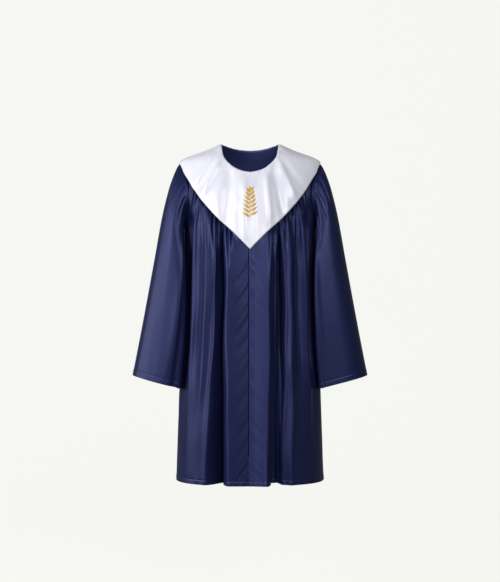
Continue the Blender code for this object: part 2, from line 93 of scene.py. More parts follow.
COLLAR_LIFT_EDGE = 4.6
ZIP_TOP = -62.0
ZIP_END = -560.0
ZIP_TAPE_GAP = 1.2
ZIP_END_MARGIN = 50.0
ZIP_CHAIN_RADIUS = 0.8
ZIP_TAPE_HALF_WIDTH = 11.0

# The worn form: half width, depth in front and behind, and how square the section is.
FORM = {
    "height": (0, -14, -39, -60, -100, -165, -250, -375, -484, -667),
    "half_width": (56, 86, 138, 141, 138, 130, 130, 135, 141, 147),
    "front_depth": (38, 46, 58, 64, 76, 88, 95, 98, 102, 106),
    "back_depth": (40, 53, 70, 78, 88, 95, 96, 97, 99, 102),
    "squareness": (1.45, 1.5, 1.65, 1.8, 2.05, 2.2, 2.2, 2.2, 2.25, 2.3),
}

# The collar's outer edge, by turn: a V in front and a shallower rounded V behind.
COLLAR_EDGE = {
    "turn": (0, 7.7, 20.6, 39.6, 55, 64.8, 78, 90, 102, 118, 140, 162, 180),
    "height": (-212, -199, -178, -149, -119.5, -98, -65, -38.4, -60, -91, -122, -144, -154),
}

# The neck edge, by turn.
NECK_EDGE = {
    "turn": (0, 11, 26, 37.7, 48.2, 60.7, 76, 90, 110, 135, 160, 180),
    "height": (-60, -58, -51.4, -41, -29.4, -15.3, -4.5, 0, -1.5, -4.5, -6.5, -7),
}

# Folds of a panel, outwards from the centre. Each row is a ridge and the trough after it:
# turn of the ridge, its relief and the trough's, at the yoke seam, chest and hem.
# Four rows of the fronts were moved from the solids' tables, to fit the photograph.
FOLD_COLUMNS = (
    "seam_turn", "seam_ridge", "seam_trough",
    "chest_turn", "chest_ridge", "chest_trough",
    "hem_turn", "hem_ridge", "hem_trough",
)

# The wearer's right front, which shows on the left of the photograph.
RIGHT_FRONT_FOLDS = (
    (29, 2, -3, 25, 1, -22, 21, 1, -39),
    (37.4, 0.8, -1.2, 35.4, -9, -3, 33, -26, -10),
    (43.4, 1.4, -1.6, 38.4, 0.8, -2.2, 44, 1.5, 0.5),
    (49.4, 1.2, -1.6, 43.4, -5, -2.2, 48.5, 0, 0),
    (54.8, 1.6, -1.8, 48.6, 0.8, -3, 53, -0.3, -0.3),
    (60, 1, -1.6, 56.2, -7, -3, 57.5, 0.3, 0.6),
    (64.5, 1.6, -1.6, 64.2, 0.8, -4, 62.5, 0.8, 0.3),
    (71, 0.8, -1, 73.5, -9, -5, 71, -0.5, -0.8),
    (80, 0.2, 0, 82, -2, -2, 81, -0.8, -1),
)

# The wearer's left front.
LEFT_FRONT_FOLDS = (
    (25, 2, -2, 20.8, 1, -8, 17.2, 1, -37),
    (31, 1.2, -3, 27.8, -3, -23, 23.5, -36, -40),
    (38, 1.4, -1.2, 39, -6, -2.5, 31.5, -12, -6),
    (43.8, 1.6, -1.6, 45, 1, -2.2, 41.4, 1.5, 0.3),
    (50, 1.2, -1.6, 50.8, -6.5, -5.5, 47, 0, -0.2),
    (55.5, 1.6, -1.6, 57, -3, -0.5, 53, -0.2, -0.2),
    (60.5, 1, -1.6, 63, 2, -4, 59, 0, 0),
    (65.5, 1.6, -1.6, 71.5, -9, -7, 65, 0, -0.3),
    (71.5, 0.8, -1, 76.5, -5, -3, 73, -0.5, -0.8),
    (80, 0.2, 0, 83, -2, -2, 81, -0.8, -1),
)

# The back's two halves, by turn from the centre back.
LEFT_BACK_FOLDS = (
    (7, 1.4, -1.6, 8, 0, -9, 9, 1.5, -15),
    (14, 1.4, -1.6, 16, -3.5, -6, 17, -11, -6),
    (21, 1.6, -1.8, 24, 0.5, -7, 26, 0.5, -3),
    (28, 1.2, -1.6, 31.5, -4, -6, 33, -2, -4),
    (35, 1.6, -1.8, 39, 0.5, -12, 40, 1.5, -20),
    (42, 1.2, -1.6, 46.5, -6, -4, 48, -13, -6),
    (49, 1.6, -1.6, 54, 0, -6, 56, 1, -3),
    (56, 1, -1.4, 61, -4, -5, 64, -1, -3),
    (64, 1.2, -1.2, 69, -0.5, -3, 72, 0.5, -2),
    (74, 0.4, 0, 79, -1, -2.5, 81, 0, -1.5),
)

RIGHT_BACK_FOLDS = (
    (7, 1.4, -1.6, 7, -0.5, -7, 8, -1, -6),
    (14, 1.6, -1.4, 15, 0.5, -8, 17, 1.5, -17),
    (21, 1.2, -1.8, 22.5, -4.5, -5, 25, -12, -5),
    (28, 1.6, -1.6, 30, 0, -9, 33.5, 1, -6),
    (35, 1.4, -1.6, 38, -5, -6, 41, -4, -3),
    (42, 1.6, -1.8, 45.5, 0.5, -11, 49, 1, -18),
    (49, 1.2, -1.4, 53, -5, -4, 57, -11, -5),
    (56, 1.4, -1.4, 61.5, 0, -6, 65, 1, -3),
    (64, 1, -1.2, 70, -2.5, -3.5, 73, -0.5, -2.5),
    (74, 0.4, 0, 79, -1, -2.5, 81, 0, -1.5),
)

# The sleeve's outer and inner lines, from the armhole to the cuff, and its half depth. Its
# inner side is the squarer and deeper one and lies against the body, whose form limits it.
SLEEVE = {
    "share": (0, 0.06, 0.13, 0.27, 0.46, 0.72, 1),
    "outer_x": (139.5, 150, 158, 174, 190, 211.5, 234),
    "outer_z": (-42, -50, -75, -138, -226, -343, -459),
    "inner_x": (131.5, 129, 127, 124.5, 123, 124, 129),
    "inner_z": (-166, -184, -208, -246, -305, -392, -485),
    "half_depth": (33, 38, 43, 50, 53, 55, 55),
    "outer_squareness": (2, 2.1, 2.3, 2.5, 2.6, 2.6, 2.5),
    "inner_squareness": (2, 2.4, 3, 3.6, 3.8, 3.6, 3.2),
}

# Folds of a sleeve: round it from its outer line (0) by the front (90) and inner line (180),
# how wide in degrees, and the relief at the armhole, the elbow and the cuff.
SLEEVE_FOLD_COLUMNS = ("place", "width", "armhole", "elbow", "cuff")
RIGHT_SLEEVE_FOLDS = (
    (12, 9, 1.4, 0.3, 0.2),
    (34, 9, 1.4, 0.4, 0.4),
    (57, 10, 1.2, -0.6, -0.8),
    (84, 22, 0.4, 1.6, 1.8),
    (116, 10, 0.8, -2.4, -2.4),
    (140, 10, 0.6, 2.2, 0.8),
    (215, 14, 0.0, 1.8, 1.6),
    (246, 11, 0.6, -2.6, -2.6),
    (275, 20, 0.6, 1.4, 1.8),
    (305, 12, 1.0, -1.4, -1.2),
    (328, 9, 1.4, 0.5, 0.3),
    (349, 9, 1.4, 0.3, 0.2),
)
LEFT_SLEEVE_FOLDS = (
    (12, 9, 1.4, 0.3, 0.2),
    (34, 9, 1.4, 0.2, 0.1),
    (60, 11, 1.2, 0.2, 0.1),
    (92, 22, 0.4, -0.8, -0.8),
    (133, 12, 0.8, 3.0, 3.0),
    (152, 8, 0.2, -1.0, -1.6),
    (212, 14, 0.0, 1.6, 1.8),
    (243, 11, 0.6, -2.4, -2.2),
    (272, 20, 0.6, 1.8, 1.4),
    (304, 12, 1.0, -1.0, -1.4),
    (328, 9, 1.4, 0.4, 0.3),
    (349, 9, 1.4, 0.3, 0.2),
)

# Soft waves of the collar behind, by signed turn, with + on the wearer's left.
COLLAR_BACK_WAVES = {"turn": (-130, 128), "width": (30, 30), "relief": (0.6, 0.6)}

# Its waves in front: place across, width and relief, and how far each leans sideways for every
# mm down.
COLLAR_FRONT_WAVES = {
    "x": (-126, -110, -90, -42, -10, 14, 34, 56, 84, 112),
    "width": (8, 7, 7, 11, 8, 7, 6, 8, 7, 8),
    "relief": (1.3, -1.7, 1.5, -1.6, 0.9, -0.5, 1.2, -1.3, 0.9, -0.5),
    "lean": (-0.8, -0.6, -0.45, -0.1, 0.0, 0.02, 0.08, 0.2, 0.45, 0.7),
}

# How finely the shells are cut.
COLUMNS_PER_FOLD = 20
BACK_COLUMNS_PER_FOLD = 14
BAND_COLUMNS = 60
BACK_BAND_COLUMNS = 8
FRONT_ROWS = 130
BACK_ROWS = 110
YOKE_ROWS = 30
SLEEVE_ROWS = 120
SLEEVE_COLUMNS = 160
COLLAR_ROWS = 46
COLLAR_COLUMNS = 320
ZIP_ROWS = 120
ZIP_TAPE_COLUMNS = 13
SHELL_WALL = 0.5

# Rows crowd at the seam, for its gathers, and at the hem, for its stitching.
ROWS_DOWN = {"row": (0, 0.25, 0.85, 1), "share": (0, 0.1, 0.962, 1)}
SLEEVE_ROWS_DOWN = {"row": (0, 0.3, 0.82, 1), "share": (0, 0.16, 0.94, 1)}
COLLAR_ROWS_DOWN = {"row": (0, 0.2, 0.85, 1), "share": (0, 0.1, 0.93, 1)}

# Sewing details.
HEM_DEPTH = 9.0
CUFF_HEM_DEPTH = 13.0
HEM_STEP = 0.35
HEM_STEP_SLOPE = 4.0
HEM_STEP_START = 3.2
STITCH_GROOVE = 0.35
STITCH_GROOVE_WIDTH = 1.1
PUCKER_PITCH = 7.0
PUCKER_RELIEF = 0.3
PUCKER_REACH = 6.0
PUCKER_DRIFT = (1.4, (30, 90), (900, 1000))
CENTRE_ROLL = 1.6
CENTRE_ROLL_WIDTH = 1.8
FLAP_STITCH_X = 4.4
FLAP_COLUMNS = 58

# Small gathers that the yoke seam and the sleeve heads hold, each fading downwards.
GATHERS = {
    "spacing": (3.4, 6.4), "width": (1.2, 2.4), "relief": (-8.5, -3.0),
    "fade": (45, 120), "slant": (-0.05, 0.05),
}
FINE_GATHERS = {
    "spacing": (1.4, 2.8), "width": (0.35, 0.7), "relief": (-0.4, 0.4),
    "fade": (10, 40), "slant": (-0.03, 0.03),
}
GATHERS_FROM_TURN = 19.0
GATHERS_TO_TURN = 89.0
BAND_END_TURN = 14.0
# Over how many degrees a panel's changes come in.
TURN_FADE = 8.0
HEAD_GATHERS = {
    "spacing": (7, 13), "width": (3.0, 6.0), "relief": (-8.0, 1.2),
    "fade": (35, 130), "slant": (-0.06, 0.06),
}
GATHER_NARROWING = 0.55

# How much the shells deepen the solids' folds, by level, and calm those beside the hem's sides.
FOLD_GAIN = {"seam": 1.0, "chest": 1.2, "hem": 1.15}
DEEP_TROUGH = -15.0
DEEP_TROUGH_GAIN = 1.1
# A trough's foot moves inwards as it deepens, so each mm of depth turns it this much outwards.
DEEP_DRIFT = 0.13
# How far the centre bands' outer edges stand forward, on the wearer's right and left.
BAND_RISE = (3.5, 7.0)
BAND_RISE_FADE = 5.0
CALM_FROM_TURN = 50.0
CALM_GAIN = 0.3
DEEP_FADE = 70.0
FOOT_SHARPNESS = 1.6

# The body's trough beside each sleeve: its turn on the wearer's right and left, its width in
# degrees, its depth, and where it starts and ends.
SLEEVE_TROUGH = {
    "turn": (76.0, 71.5), "width": 4.0, "depth": 9.0, "top": -95.0, "bottom": -420.0,
}
SLEEVE_TROUGH_FADE = 70.0
ARMHOLE_VALLEY = 2.5
ARMHOLE_VALLEY_WIDTH = 7.0

# Slanting creases of the two centre bands, down and away from the zip.
BAND_CREASES = {"spacing": (13, 24), "width": (3.5, 6.5), "relief": (0.3, 0.8), "slope": (1.1, 1.6)}
BAND_CREASE_SIDES = (1, -1, 1, 1, -1)
BAND_CREASE_START = 6.0
BAND_CREASE_FADE = 16.0
LEFT_CREASE_GAIN = 1.25
BAND_HALF_WIDTH = 40.0

UNEVEN_WAVES = 6
WANDER_DEG = 0.5
WANDER_ACROSS = (9, 30)
WANDER_DOWN = (160, 420)
WANDER_TO_TURN = 82.0
SWELL_RELIEF = 0.3
SWELL_ACROSS = (35, 90)
SWELL_DOWN = (90, 320)
YOKE_COLUMNS = 110
# Each with its seed, relief and the waves' lengths across and down.
YOKE_UNEVEN = (12, 0.2, (18, 50), (40, 90))
COLLAR_UNEVEN = (73, 0.16, (16, 46), (24, 70))
COLLAR_WAVE_GAIN = 3.0
COLLAR_PUFF = 2.4
COLLAR_PUFF_TURN = 50.0
COLLAR_PUFF_FADE = 32.0
COLLAR_EDGE_CALM = 0.6
# The cloth sinks under the collar's edge, which throws its shadow there.
UNDER_COLLAR = 3.5
UNDER_COLLAR_REACH = 16.0
UNDER_COLLAR_FROM_TURN = 12.0
UNDER_COLLAR_FADE = 10.0
COLLAR_CROWDING_DEG = 14.0
COLLAR_QUARTERS = 4
NECK_RADIUS = 52.0
NECK_PUCKERS = {
    "spacing": (3.5, 8), "width": (1.2, 2.4), "relief": (-1.3, 0.6),
    "fade": (10, 36), "slant": (-0.02, 0.02),
}
FLAP_LIFT = 1.5
FLAP_WIDTH = 9.0
FLAP_OVERLAP = 2.6
EDGE_ROLL = 1.3
EDGE_ROLL_WIDTH = 1.6
SHOULDER_SEAM_TURN = 83.0
SHOULDER_SEAM_RELIEF = 0.7
SHOULDER_SEAM_WIDTH = 1.4
SLEEVE_LENGTH = 430.0
# A soft upright ridge in front of each sleeve, near the body.
INNER_RIDGE = {
    "place": 128.0, "turn_down": (-30.0, -8.0), "width": 13.0, "relief": 5.0, "top": 80.0, "calm": 0.35,
}
SLEEVE_GIRTH = 330.0
# The sleeve head's edge turns in under the collar and the body by this much.
HEAD_TUCK = 4.5
# Side and shoulder seams reach this far past their edge and lie this much under the next piece.
SEAM_TUCK = 2.4
SHOULDER_TUCK = 6.0
SEAM_SINK = 0.9
# Gathers lie flat where they are sewn to the yoke, and swell over this much below.
SEWN_REACH = 9.0

# Stitches, the zip's coil and the embroidered sprig.
THREAD_RADIUS = 0.16
STITCH_LENGTH = 2.3
STITCH_PITCH = 3.0
COIL_RADIUS = 0.55
COIL_WIRE = 0.18
COIL_PITCH = 0.8
COIL_ASIDE = 0.25
SPRIG_FOOT = -157.0
SPRIG_TOP = -88.0
SPRIG_PAIRS = 7
LEAVES = {
    "above_foot": 9.0, "below_top": 13.0, "aside": 0.8, "stagger": 2.5, "lean": 62.0,
    "lean_loss": 26.0, "length": 17.0, "length_loss": 5.5, "tip_length": 13.0,
}
LEAF_FULLNESS = (0.8, 0.9)
STITCH_RIDGE = 0.16
STITCH_SLANT = 0.6
VEIN_DEPTH = 0.35
VEIN_WIDTH = 0.45
STEM_BELOW_TOP = 10.0
STEM_HALF_WIDTH = 0.75
STEM_PADDING = 0.5
LEAF_HALF_WIDTH = 2.7
LEAF_PADDING = 0.7
LEAF_RINGS = 44
LEAF_SINK = 0.15
THREAD_PITCH = 1.1

# The cloth's fine streaks, by how many there are in a metre across and down.
WARP_STREAKS_PER_M = 900.0
WEFT_STREAKS_PER_M = 14.0
STREAK_DETAIL = 3
STREAK_STRENGTH = 0.12
STREAK_DEPTH_M = 0.0002

# The studio, in metres.
CAMERA_LENS = 80.4
CAMERA_SENSOR = 36
CAMERA_PLACE = (0, -2.6, -0.292)
FLOOR_Z = -0.95
FLOOR_BACK = 1.2
FLOOR_REACH = 5
FLOOR_CURVE = 0.6
WALL_TOP = 3.5
WORLD_STRENGTH = 0.14
# White softboxes: name, place, what each is turned to, side and watts.
LIGHTS = (
    ("key", (-1.9, -2.0, 0.5), (0, 0, -0.35), 1.6, 52),
    ("side", (-2.6, -0.5, 0.1), (0, 0, -0.35), 1.5, 27),
    ("fill", (0.85, -2.7, 0.75), (0, 0, -0.3), 1.4, 37),
)


def along(stations, values, at):
    """A smooth curve through the values that never overshoots them."""
    x = np.asarray(stations, float)
    y = np.asarray(values, float)
    if x[0] > x[-1]:
        x, y = x[::-1], y[::-1]
    step = np.diff(x)
    slope = np.diff(y) / step
    tangent = np.zeros(len(x))
    tangent[0], tangent[-1] = slope[0], slope[-1]
    same_way = slope[:-1] * slope[1:] > 0
    weight_a, weight_b = 2 * step[1:] + step[:-1], step[1:] + 2 * step[:-1]
    safe_a = np.where(same_way, slope[:-1], 1)
    safe_b = np.where(same_way, slope[1:], 1)
    mean = (weight_a + weight_b) / (weight_a / safe_a + weight_b / safe_b)
    tangent[1:-1] = np.where(same_way, mean, 0)
    at = np.clip(np.asarray(at, float), x[0], x[-1])
    i = np.clip(np.searchsorted(x, at, side="right") - 1, 0, len(x) - 2)
    h = step[i]
    t = (at - x[i]) / h
    return (
        y[i] * (1 + 2 * t) * (1 - t) ** 2
        + y[i + 1] * t * t * (3 - 2 * t)
        + h * tangent[i] * t * (1 - t) ** 2
        - h * tangent[i + 1] * t * t * (1 - t)
    )


def ease(t):
    """0 to 1 with a level start and end."""
    t = np.clip(t, 0, 1)
    return t * t * (3 - 2 * t)


def bell(off, width):
    """1 in the middle, falling off evenly to both sides over the width."""
    return np.exp(-((off / width) ** 2))


def edge_height(edge, turn):
    return along(edge["turn"], edge["height"], turn)


def form_sections(z):
    """Half width, front depth, back depth and squareness at heights z."""
    names = ("half_width", "front_depth", "back_depth", "squareness")
    return [along(FORM["height"], FORM[name], z) for name in names]


def on_form(turn, z):
    """Points of the worn form, by signed turn in degrees and height."""
    turn, z = np.broadcast_arrays(np.asarray(turn, float), np.asarray(z, float))
    half_width, front, back, square = form_sections(z)
    sine, cosine = np.sin(np.radians(turn)), np.cos(np.radians(turn))
    depth = np.where(cosine >= 0, front, back)
    reach = (
        np.abs(sine / half_width) ** square + np.abs(cosine / depth) ** square
    ) ** (-1 / square)
    return np.stack([reach * sine, -reach * cosine, z], axis=-1)


def form_normals(turn, z):
    """Outward normals of the form, in three dimensions."""
    small_turn, small_z = 0.05, 0.05
    high = np.minimum(z + small_z, -1e-6)
    round_it = on_form(turn + small_turn, z) - on_form(turn - small_turn, z)
    up_it = on_form(turn, high) - on_form(turn, high - 2 * small_z)
    normal = np.cross(round_it, up_it)
    return normal / np.linalg.norm(normal, axis=-1, keepdims=True)


def off_form(turn, z, relief):
    """Points that stand off the form by the relief."""
    turn, z, relief = np.broadcast_arrays(turn, z, relief)
    relief = relief.astype(float)
    return on_form(turn, z) + form_normals(turn, z) * relief[..., None]


def form_half_width_at(y, z):
    """The form's half width at depth y and height z."""
    half_width, front, back, square = form_sections(z)
    depth = np.where(y <= 0, front, back)
    inside = np.clip(1 - np.abs(y / depth) ** square, 0, 1)
    return half_width * inside ** (1 / square)


def corners(facets_array, rows, columns, closed_round):
    """Each facet's value as seen from its four corners, with the corners' own slices."""
    for down in (0, 1):
        for across in (0, 1):
            if closed_round:
                yield np.s_[down : down + rows - 1], np.roll(facets_array, across, axis=1)
            else:
                yield (
                    np.s_[down : down + rows - 1, across : across + columns - 1],
                    facets_array,
                )


def inner_face(grid, closed_round):
    """The grid moved in by the cloth's wall, a little more where the cloth bends."""
    rows, columns = grid.shape[:2]
    ring = np.concatenate([grid, grid[:, :1]], axis=1) if closed_round else grid
    facet = np.cross(ring[1:, 1:] - ring[:-1, :-1], ring[:-1, 1:] - ring[1:, :-1])
    facet = facet / np.linalg.norm(facet, axis=-1, keepdims=True)
    normal = np.zeros_like(grid)
    for place, beside in corners(facet, rows, columns, closed_round):
        normal[place] += beside
    normal = normal / np.linalg.norm(normal, axis=-1, keepdims=True)
    least = np.ones((rows, columns))
    for place, beside in corners(facet, rows, columns, closed_round):
        cosine = (normal[place] * beside).sum(axis=-1)
        least[place] = np.minimum(least[place], cosine)
    return grid - normal * SHELL_WALL / np.maximum(least, MOST_BEND_COSINE)[..., None]


def rim_loops(rows, columns, closed_round):
    """The free edges of a grid, each as a loop of its points, with the cloth on the left."""
    index = np.arange(rows * columns).reshape(rows, columns)
    if closed_round:
        return [index[-1], index[0, ::-1]]
    sides = (index[:-1, 0], index[-1, :-1], index[:0:-1, -1], index[0, :0:-1])
    return [np.concatenate(sides)]


def yoke_seam_height(turn):
    """The seam between yoke and gathered cloth, hidden just above the collar's edge."""
    edge = edge_height(COLLAR_EDGE, np.abs(turn))
    corner = edge_height(COLLAR_EDGE, 90)
    near_shoulder = 1 - ease(np.abs(np.abs(turn) - 90) / SHOULDER_BLEND_DEG)
    rise = SEAM_UNDER_COLLAR + (ARMHOLE_TOP - corner - SEAM_UNDER_COLLAR) * near_shoulder
    return edge + rise


def armhole_reach(z):
    """How far the armhole reaches forwards and backwards at a height, in degrees."""
    share_down = np.clip((ARMHOLE_TOP - z) / (ARMHOLE_TOP - ARMHOLE_BOTTOM), 0, 1)
    return ARMHOLE_REACH_DEG * np.sin(np.pi * share_down)


def beside_armhole(turn, z):
    """Turns from the centre, drawn in so that the last one runs along the armhole."""
    spread = np.clip(turn / ARMHOLE_SPREAD_FROM_DEG - 1, 0, 1) ** ARMHOLE_SPREAD
    return turn - armhole_reach(z) * spread


def seam_top(turn, from_back):
    """Where each column starts on the yoke seam, found by halving the range of heights."""
    low = np.full_like(turn, ARMHOLE_BOTTOM - ARMHOLE_BOTTOM_MARGIN)
    high = np.full_like(turn, ARMHOLE_TOP)
    for _ in range(SEAM_HALVINGS):
        middle = (low + high) / 2
        drawn = beside_armhole(turn, middle)
        under = middle < yoke_seam_height(180 - drawn if from_back else drawn)
        low = np.where(under, middle, low)
        high = np.where(under, high, middle)
    return low


def shoulder_margin(turn, z):
    """Shrinks turns a little, so that front and back cloth don't cross on the ridge."""
    half_width = form_sections(z)[0]
    gap = np.where(z > ARMHOLE_TOP - RIDGE_BLEND, RIDGE_GAP, SEAM_GAP)
    return turn * (1 - np.degrees(gap / half_width) / 90)


def clear_zip(points, sign):
    """Moves a front's centre edge aside, to leave room for the zip's chain."""
    beside_zip = points[..., 2] > ZIP_END - ZIP_END_MARGIN
    gap = np.where(beside_zip, ZIP_CHAIN_RADIUS + SEAM_GAP, SEAM_GAP / 2)
    near_centre = 1 - ease(np.abs(points[..., 0]) / ZIP_TAPE_HALF_WIDTH)
    points[..., 0] += sign * gap * near_centre
    return points


def armhole_loop(around, sign):
    """The loop where a sleeve is sewn on, just off the body cloth and a little larger."""
    middle = (ARMHOLE_TOP + ARMHOLE_BOTTOM) / 2
    half = (ARMHOLE_TOP - ARMHOLE_BOTTOM) / 2 + SLEEVE_OVERLAP
    z = middle + half * np.cos(around)
    reach = armhole_reach(z) + ARMHOLE_MARGIN_DEG * np.abs(np.sin(around))
    turn = 90 - np.sign(np.sin(around)) * reach
    over_shoulder = CLOTH_WALL * ease(2 * np.cos(around) - 1)
    return off_form(sign * turn, z, ARMHOLE_LIFT + over_shoulder)


def rows_down(rows, course):
    """Shares of a piece's length, a row each, crowded as the course says."""
    return along(course["row"], course["share"], np.linspace(0, 1, rows))


def scattered(course, low, high, rng):
    """Creases from low to high, at uneven spacing, with the other columns of the course."""
    count = int((high - low) / course["spacing"][0]) + 1
    place = low + np.cumsum(rng.uniform(*course["spacing"], count))
    kept = place < high
    others = {name: rng.uniform(*course[name], count)[kept] for name in course if name != "spacing"}
    return place[kept], others


def seam_gathers(column, below, low, high, course, seed):
    """Relief of small gathers that hang from a seam, by column place and depth below it."""
    place, crease = scattered(course, low, high, np.random.default_rng(seed))
    relief = np.zeros(np.broadcast(column, below).shape)
    columns = (crease[name] for name in ("width", "relief", "fade", "slant"))
    for at, width, height, fade, slant in zip(place, *columns):
        run = np.clip(below / fade, 0, 1)
        narrowed = width * (1 - GATHER_NARROWING * run)
        relief = relief + height * bell(column - at - slant * below, narrowed) * (1 - ease(run))
    return relief


def slanting_creases(x, z, seed):
    """Relief of a centre band's creases, which run down and away from the zip."""
    low, high = -GOWN_LENGTH, COLLAR_EDGE["height"][0]
    place, crease = scattered(BAND_CREASES, low, high, np.random.default_rng(seed))
    sign = np.resize(BAND_CREASE_SIDES, len(place))
    relief = np.zeros(x.shape)
    columns = (crease["width"], crease["relief"], crease["slope"], sign)
    for at, width, height, slope, side in zip(place, *columns):
        relief = relief + side * height * bell(z - at + slope * x, width)
    ends = (x - BAND_HALF_WIDTH + BAND_CREASE_FADE) / BAND_CREASE_FADE
    return relief * ease(x / BAND_CREASE_START) * (1 - ease(ends))


def unevenness(across, down, seed, relief, wave_across, wave_down):
    """Soft irregular swells, so that no fold is ruled; the waves' lengths are in mm."""
    rng = np.random.default_rng(seed)
    total = np.zeros(np.broadcast(across, down).shape)
    for _ in range(UNEVEN_WAVES):
        turn_across = 2 * np.pi / rng.uniform(*wave_across)
        turn_down = 2 * np.pi / rng.uniform(*wave_down)
        total = total + np.sin(across * turn_across + down * turn_down + rng.uniform(0, 2 * np.pi))
    return total * relief / np.sqrt(UNEVEN_WAVES)


def hem_relief(above_edge, depth, arc, seed):
    """A turned-up hem: a step, a stitch groove and the small puckers that stitching draws."""
    step = HEM_STEP * (1 - ease(above_edge / depth * HEM_STEP_SLOPE - HEM_STEP_START))
    groove = STITCH_GROOVE * bell(above_edge - depth, STITCH_GROOVE_WIDTH)
    phase = unevenness(arc, 0, seed, *PUCKER_DRIFT)
    pucker = np.sin(arc * 2 * np.pi / PUCKER_PITCH + phase) * PUCKER_RELIEF
    return step - groove + pucker * bell(above_edge - depth, PUCKER_REACH)


def through(places, heights, place):
    """A line through the stations that rises and falls only where they do: round ridges, sharp feet."""
    step, rise = np.diff(places), np.diff(heights)
    slope = rise / step
    before, after = slope[:-1], slope[1:]
    both = np.where(before * after > 0, before + after, 1)
    lean = np.where(before * after > 0, 2 * before * after / both, 0)
    foot = (before < 0) & (after > 0)
    arriving = np.append(np.where(foot, FOOT_SHARPNESS * before, lean), 0)
    leaving = np.insert(np.where(foot, FOOT_SHARPNESS * after, lean), 0, 0)
    i = np.clip(np.searchsorted(places, place, side="right") - 1, 0, len(step) - 1)
    run = (place - places[i]) / step[i]
    bend = leaving[i] * (run**3 - 2 * run**2 + run) + arriving[i] * (run**3 - run**2)
    return heights[i] + rise[i] * (3 * run**2 - 2 * run**3) + step[i] * bend


def fold_course(folds, level, per_fold, band_columns):
    """Turns and reliefs of a panel's columns at one level, from its centre to its side."""
    table = np.array(folds, float)
    column = {name: i for i, name in enumerate(FOLD_COLUMNS)}
    ridges = table[:, column[level + "_turn"]]
    after = np.append(ridges[1:], 90.0)
    turns, reliefs = [0.0], [0.0]
    for row, ridge, following in zip(table, ridges, after):
        turns += [ridge, (ridge + following) / 2]
        reliefs += [row[column[level + "_ridge"]], row[column[level + "_trough"]]]
    turns.append(90.0)
    reliefs.append(0.0)
    turns, reliefs = np.array(turns), np.array(reliefs) * FOLD_GAIN[level]
    deep = np.minimum(reliefs - DEEP_TROUGH, 0)
    reliefs = reliefs + deep * (DEEP_TROUGH_GAIN - 1)
    if level == "hem":
        reliefs = reliefs * (1 - (1 - CALM_GAIN) * ease((turns - CALM_FROM_TURN) / TURN_FADE))
    if level != "seam":
        turns = turns - DEEP_DRIFT * np.minimum(reliefs, 0)
    flat_band = np.linspace(0, 1, band_columns, endpoint=False)
    folded = np.arange(per_fold // 2, (len(turns) - 1) * per_fold // 2) * 2 / per_fold
    station = np.concatenate([flat_band, folded, [len(turns) - 1]])
    turn = np.interp(station, np.arange(len(turns)), turns)
    return turn, through(turns, reliefs, turn)


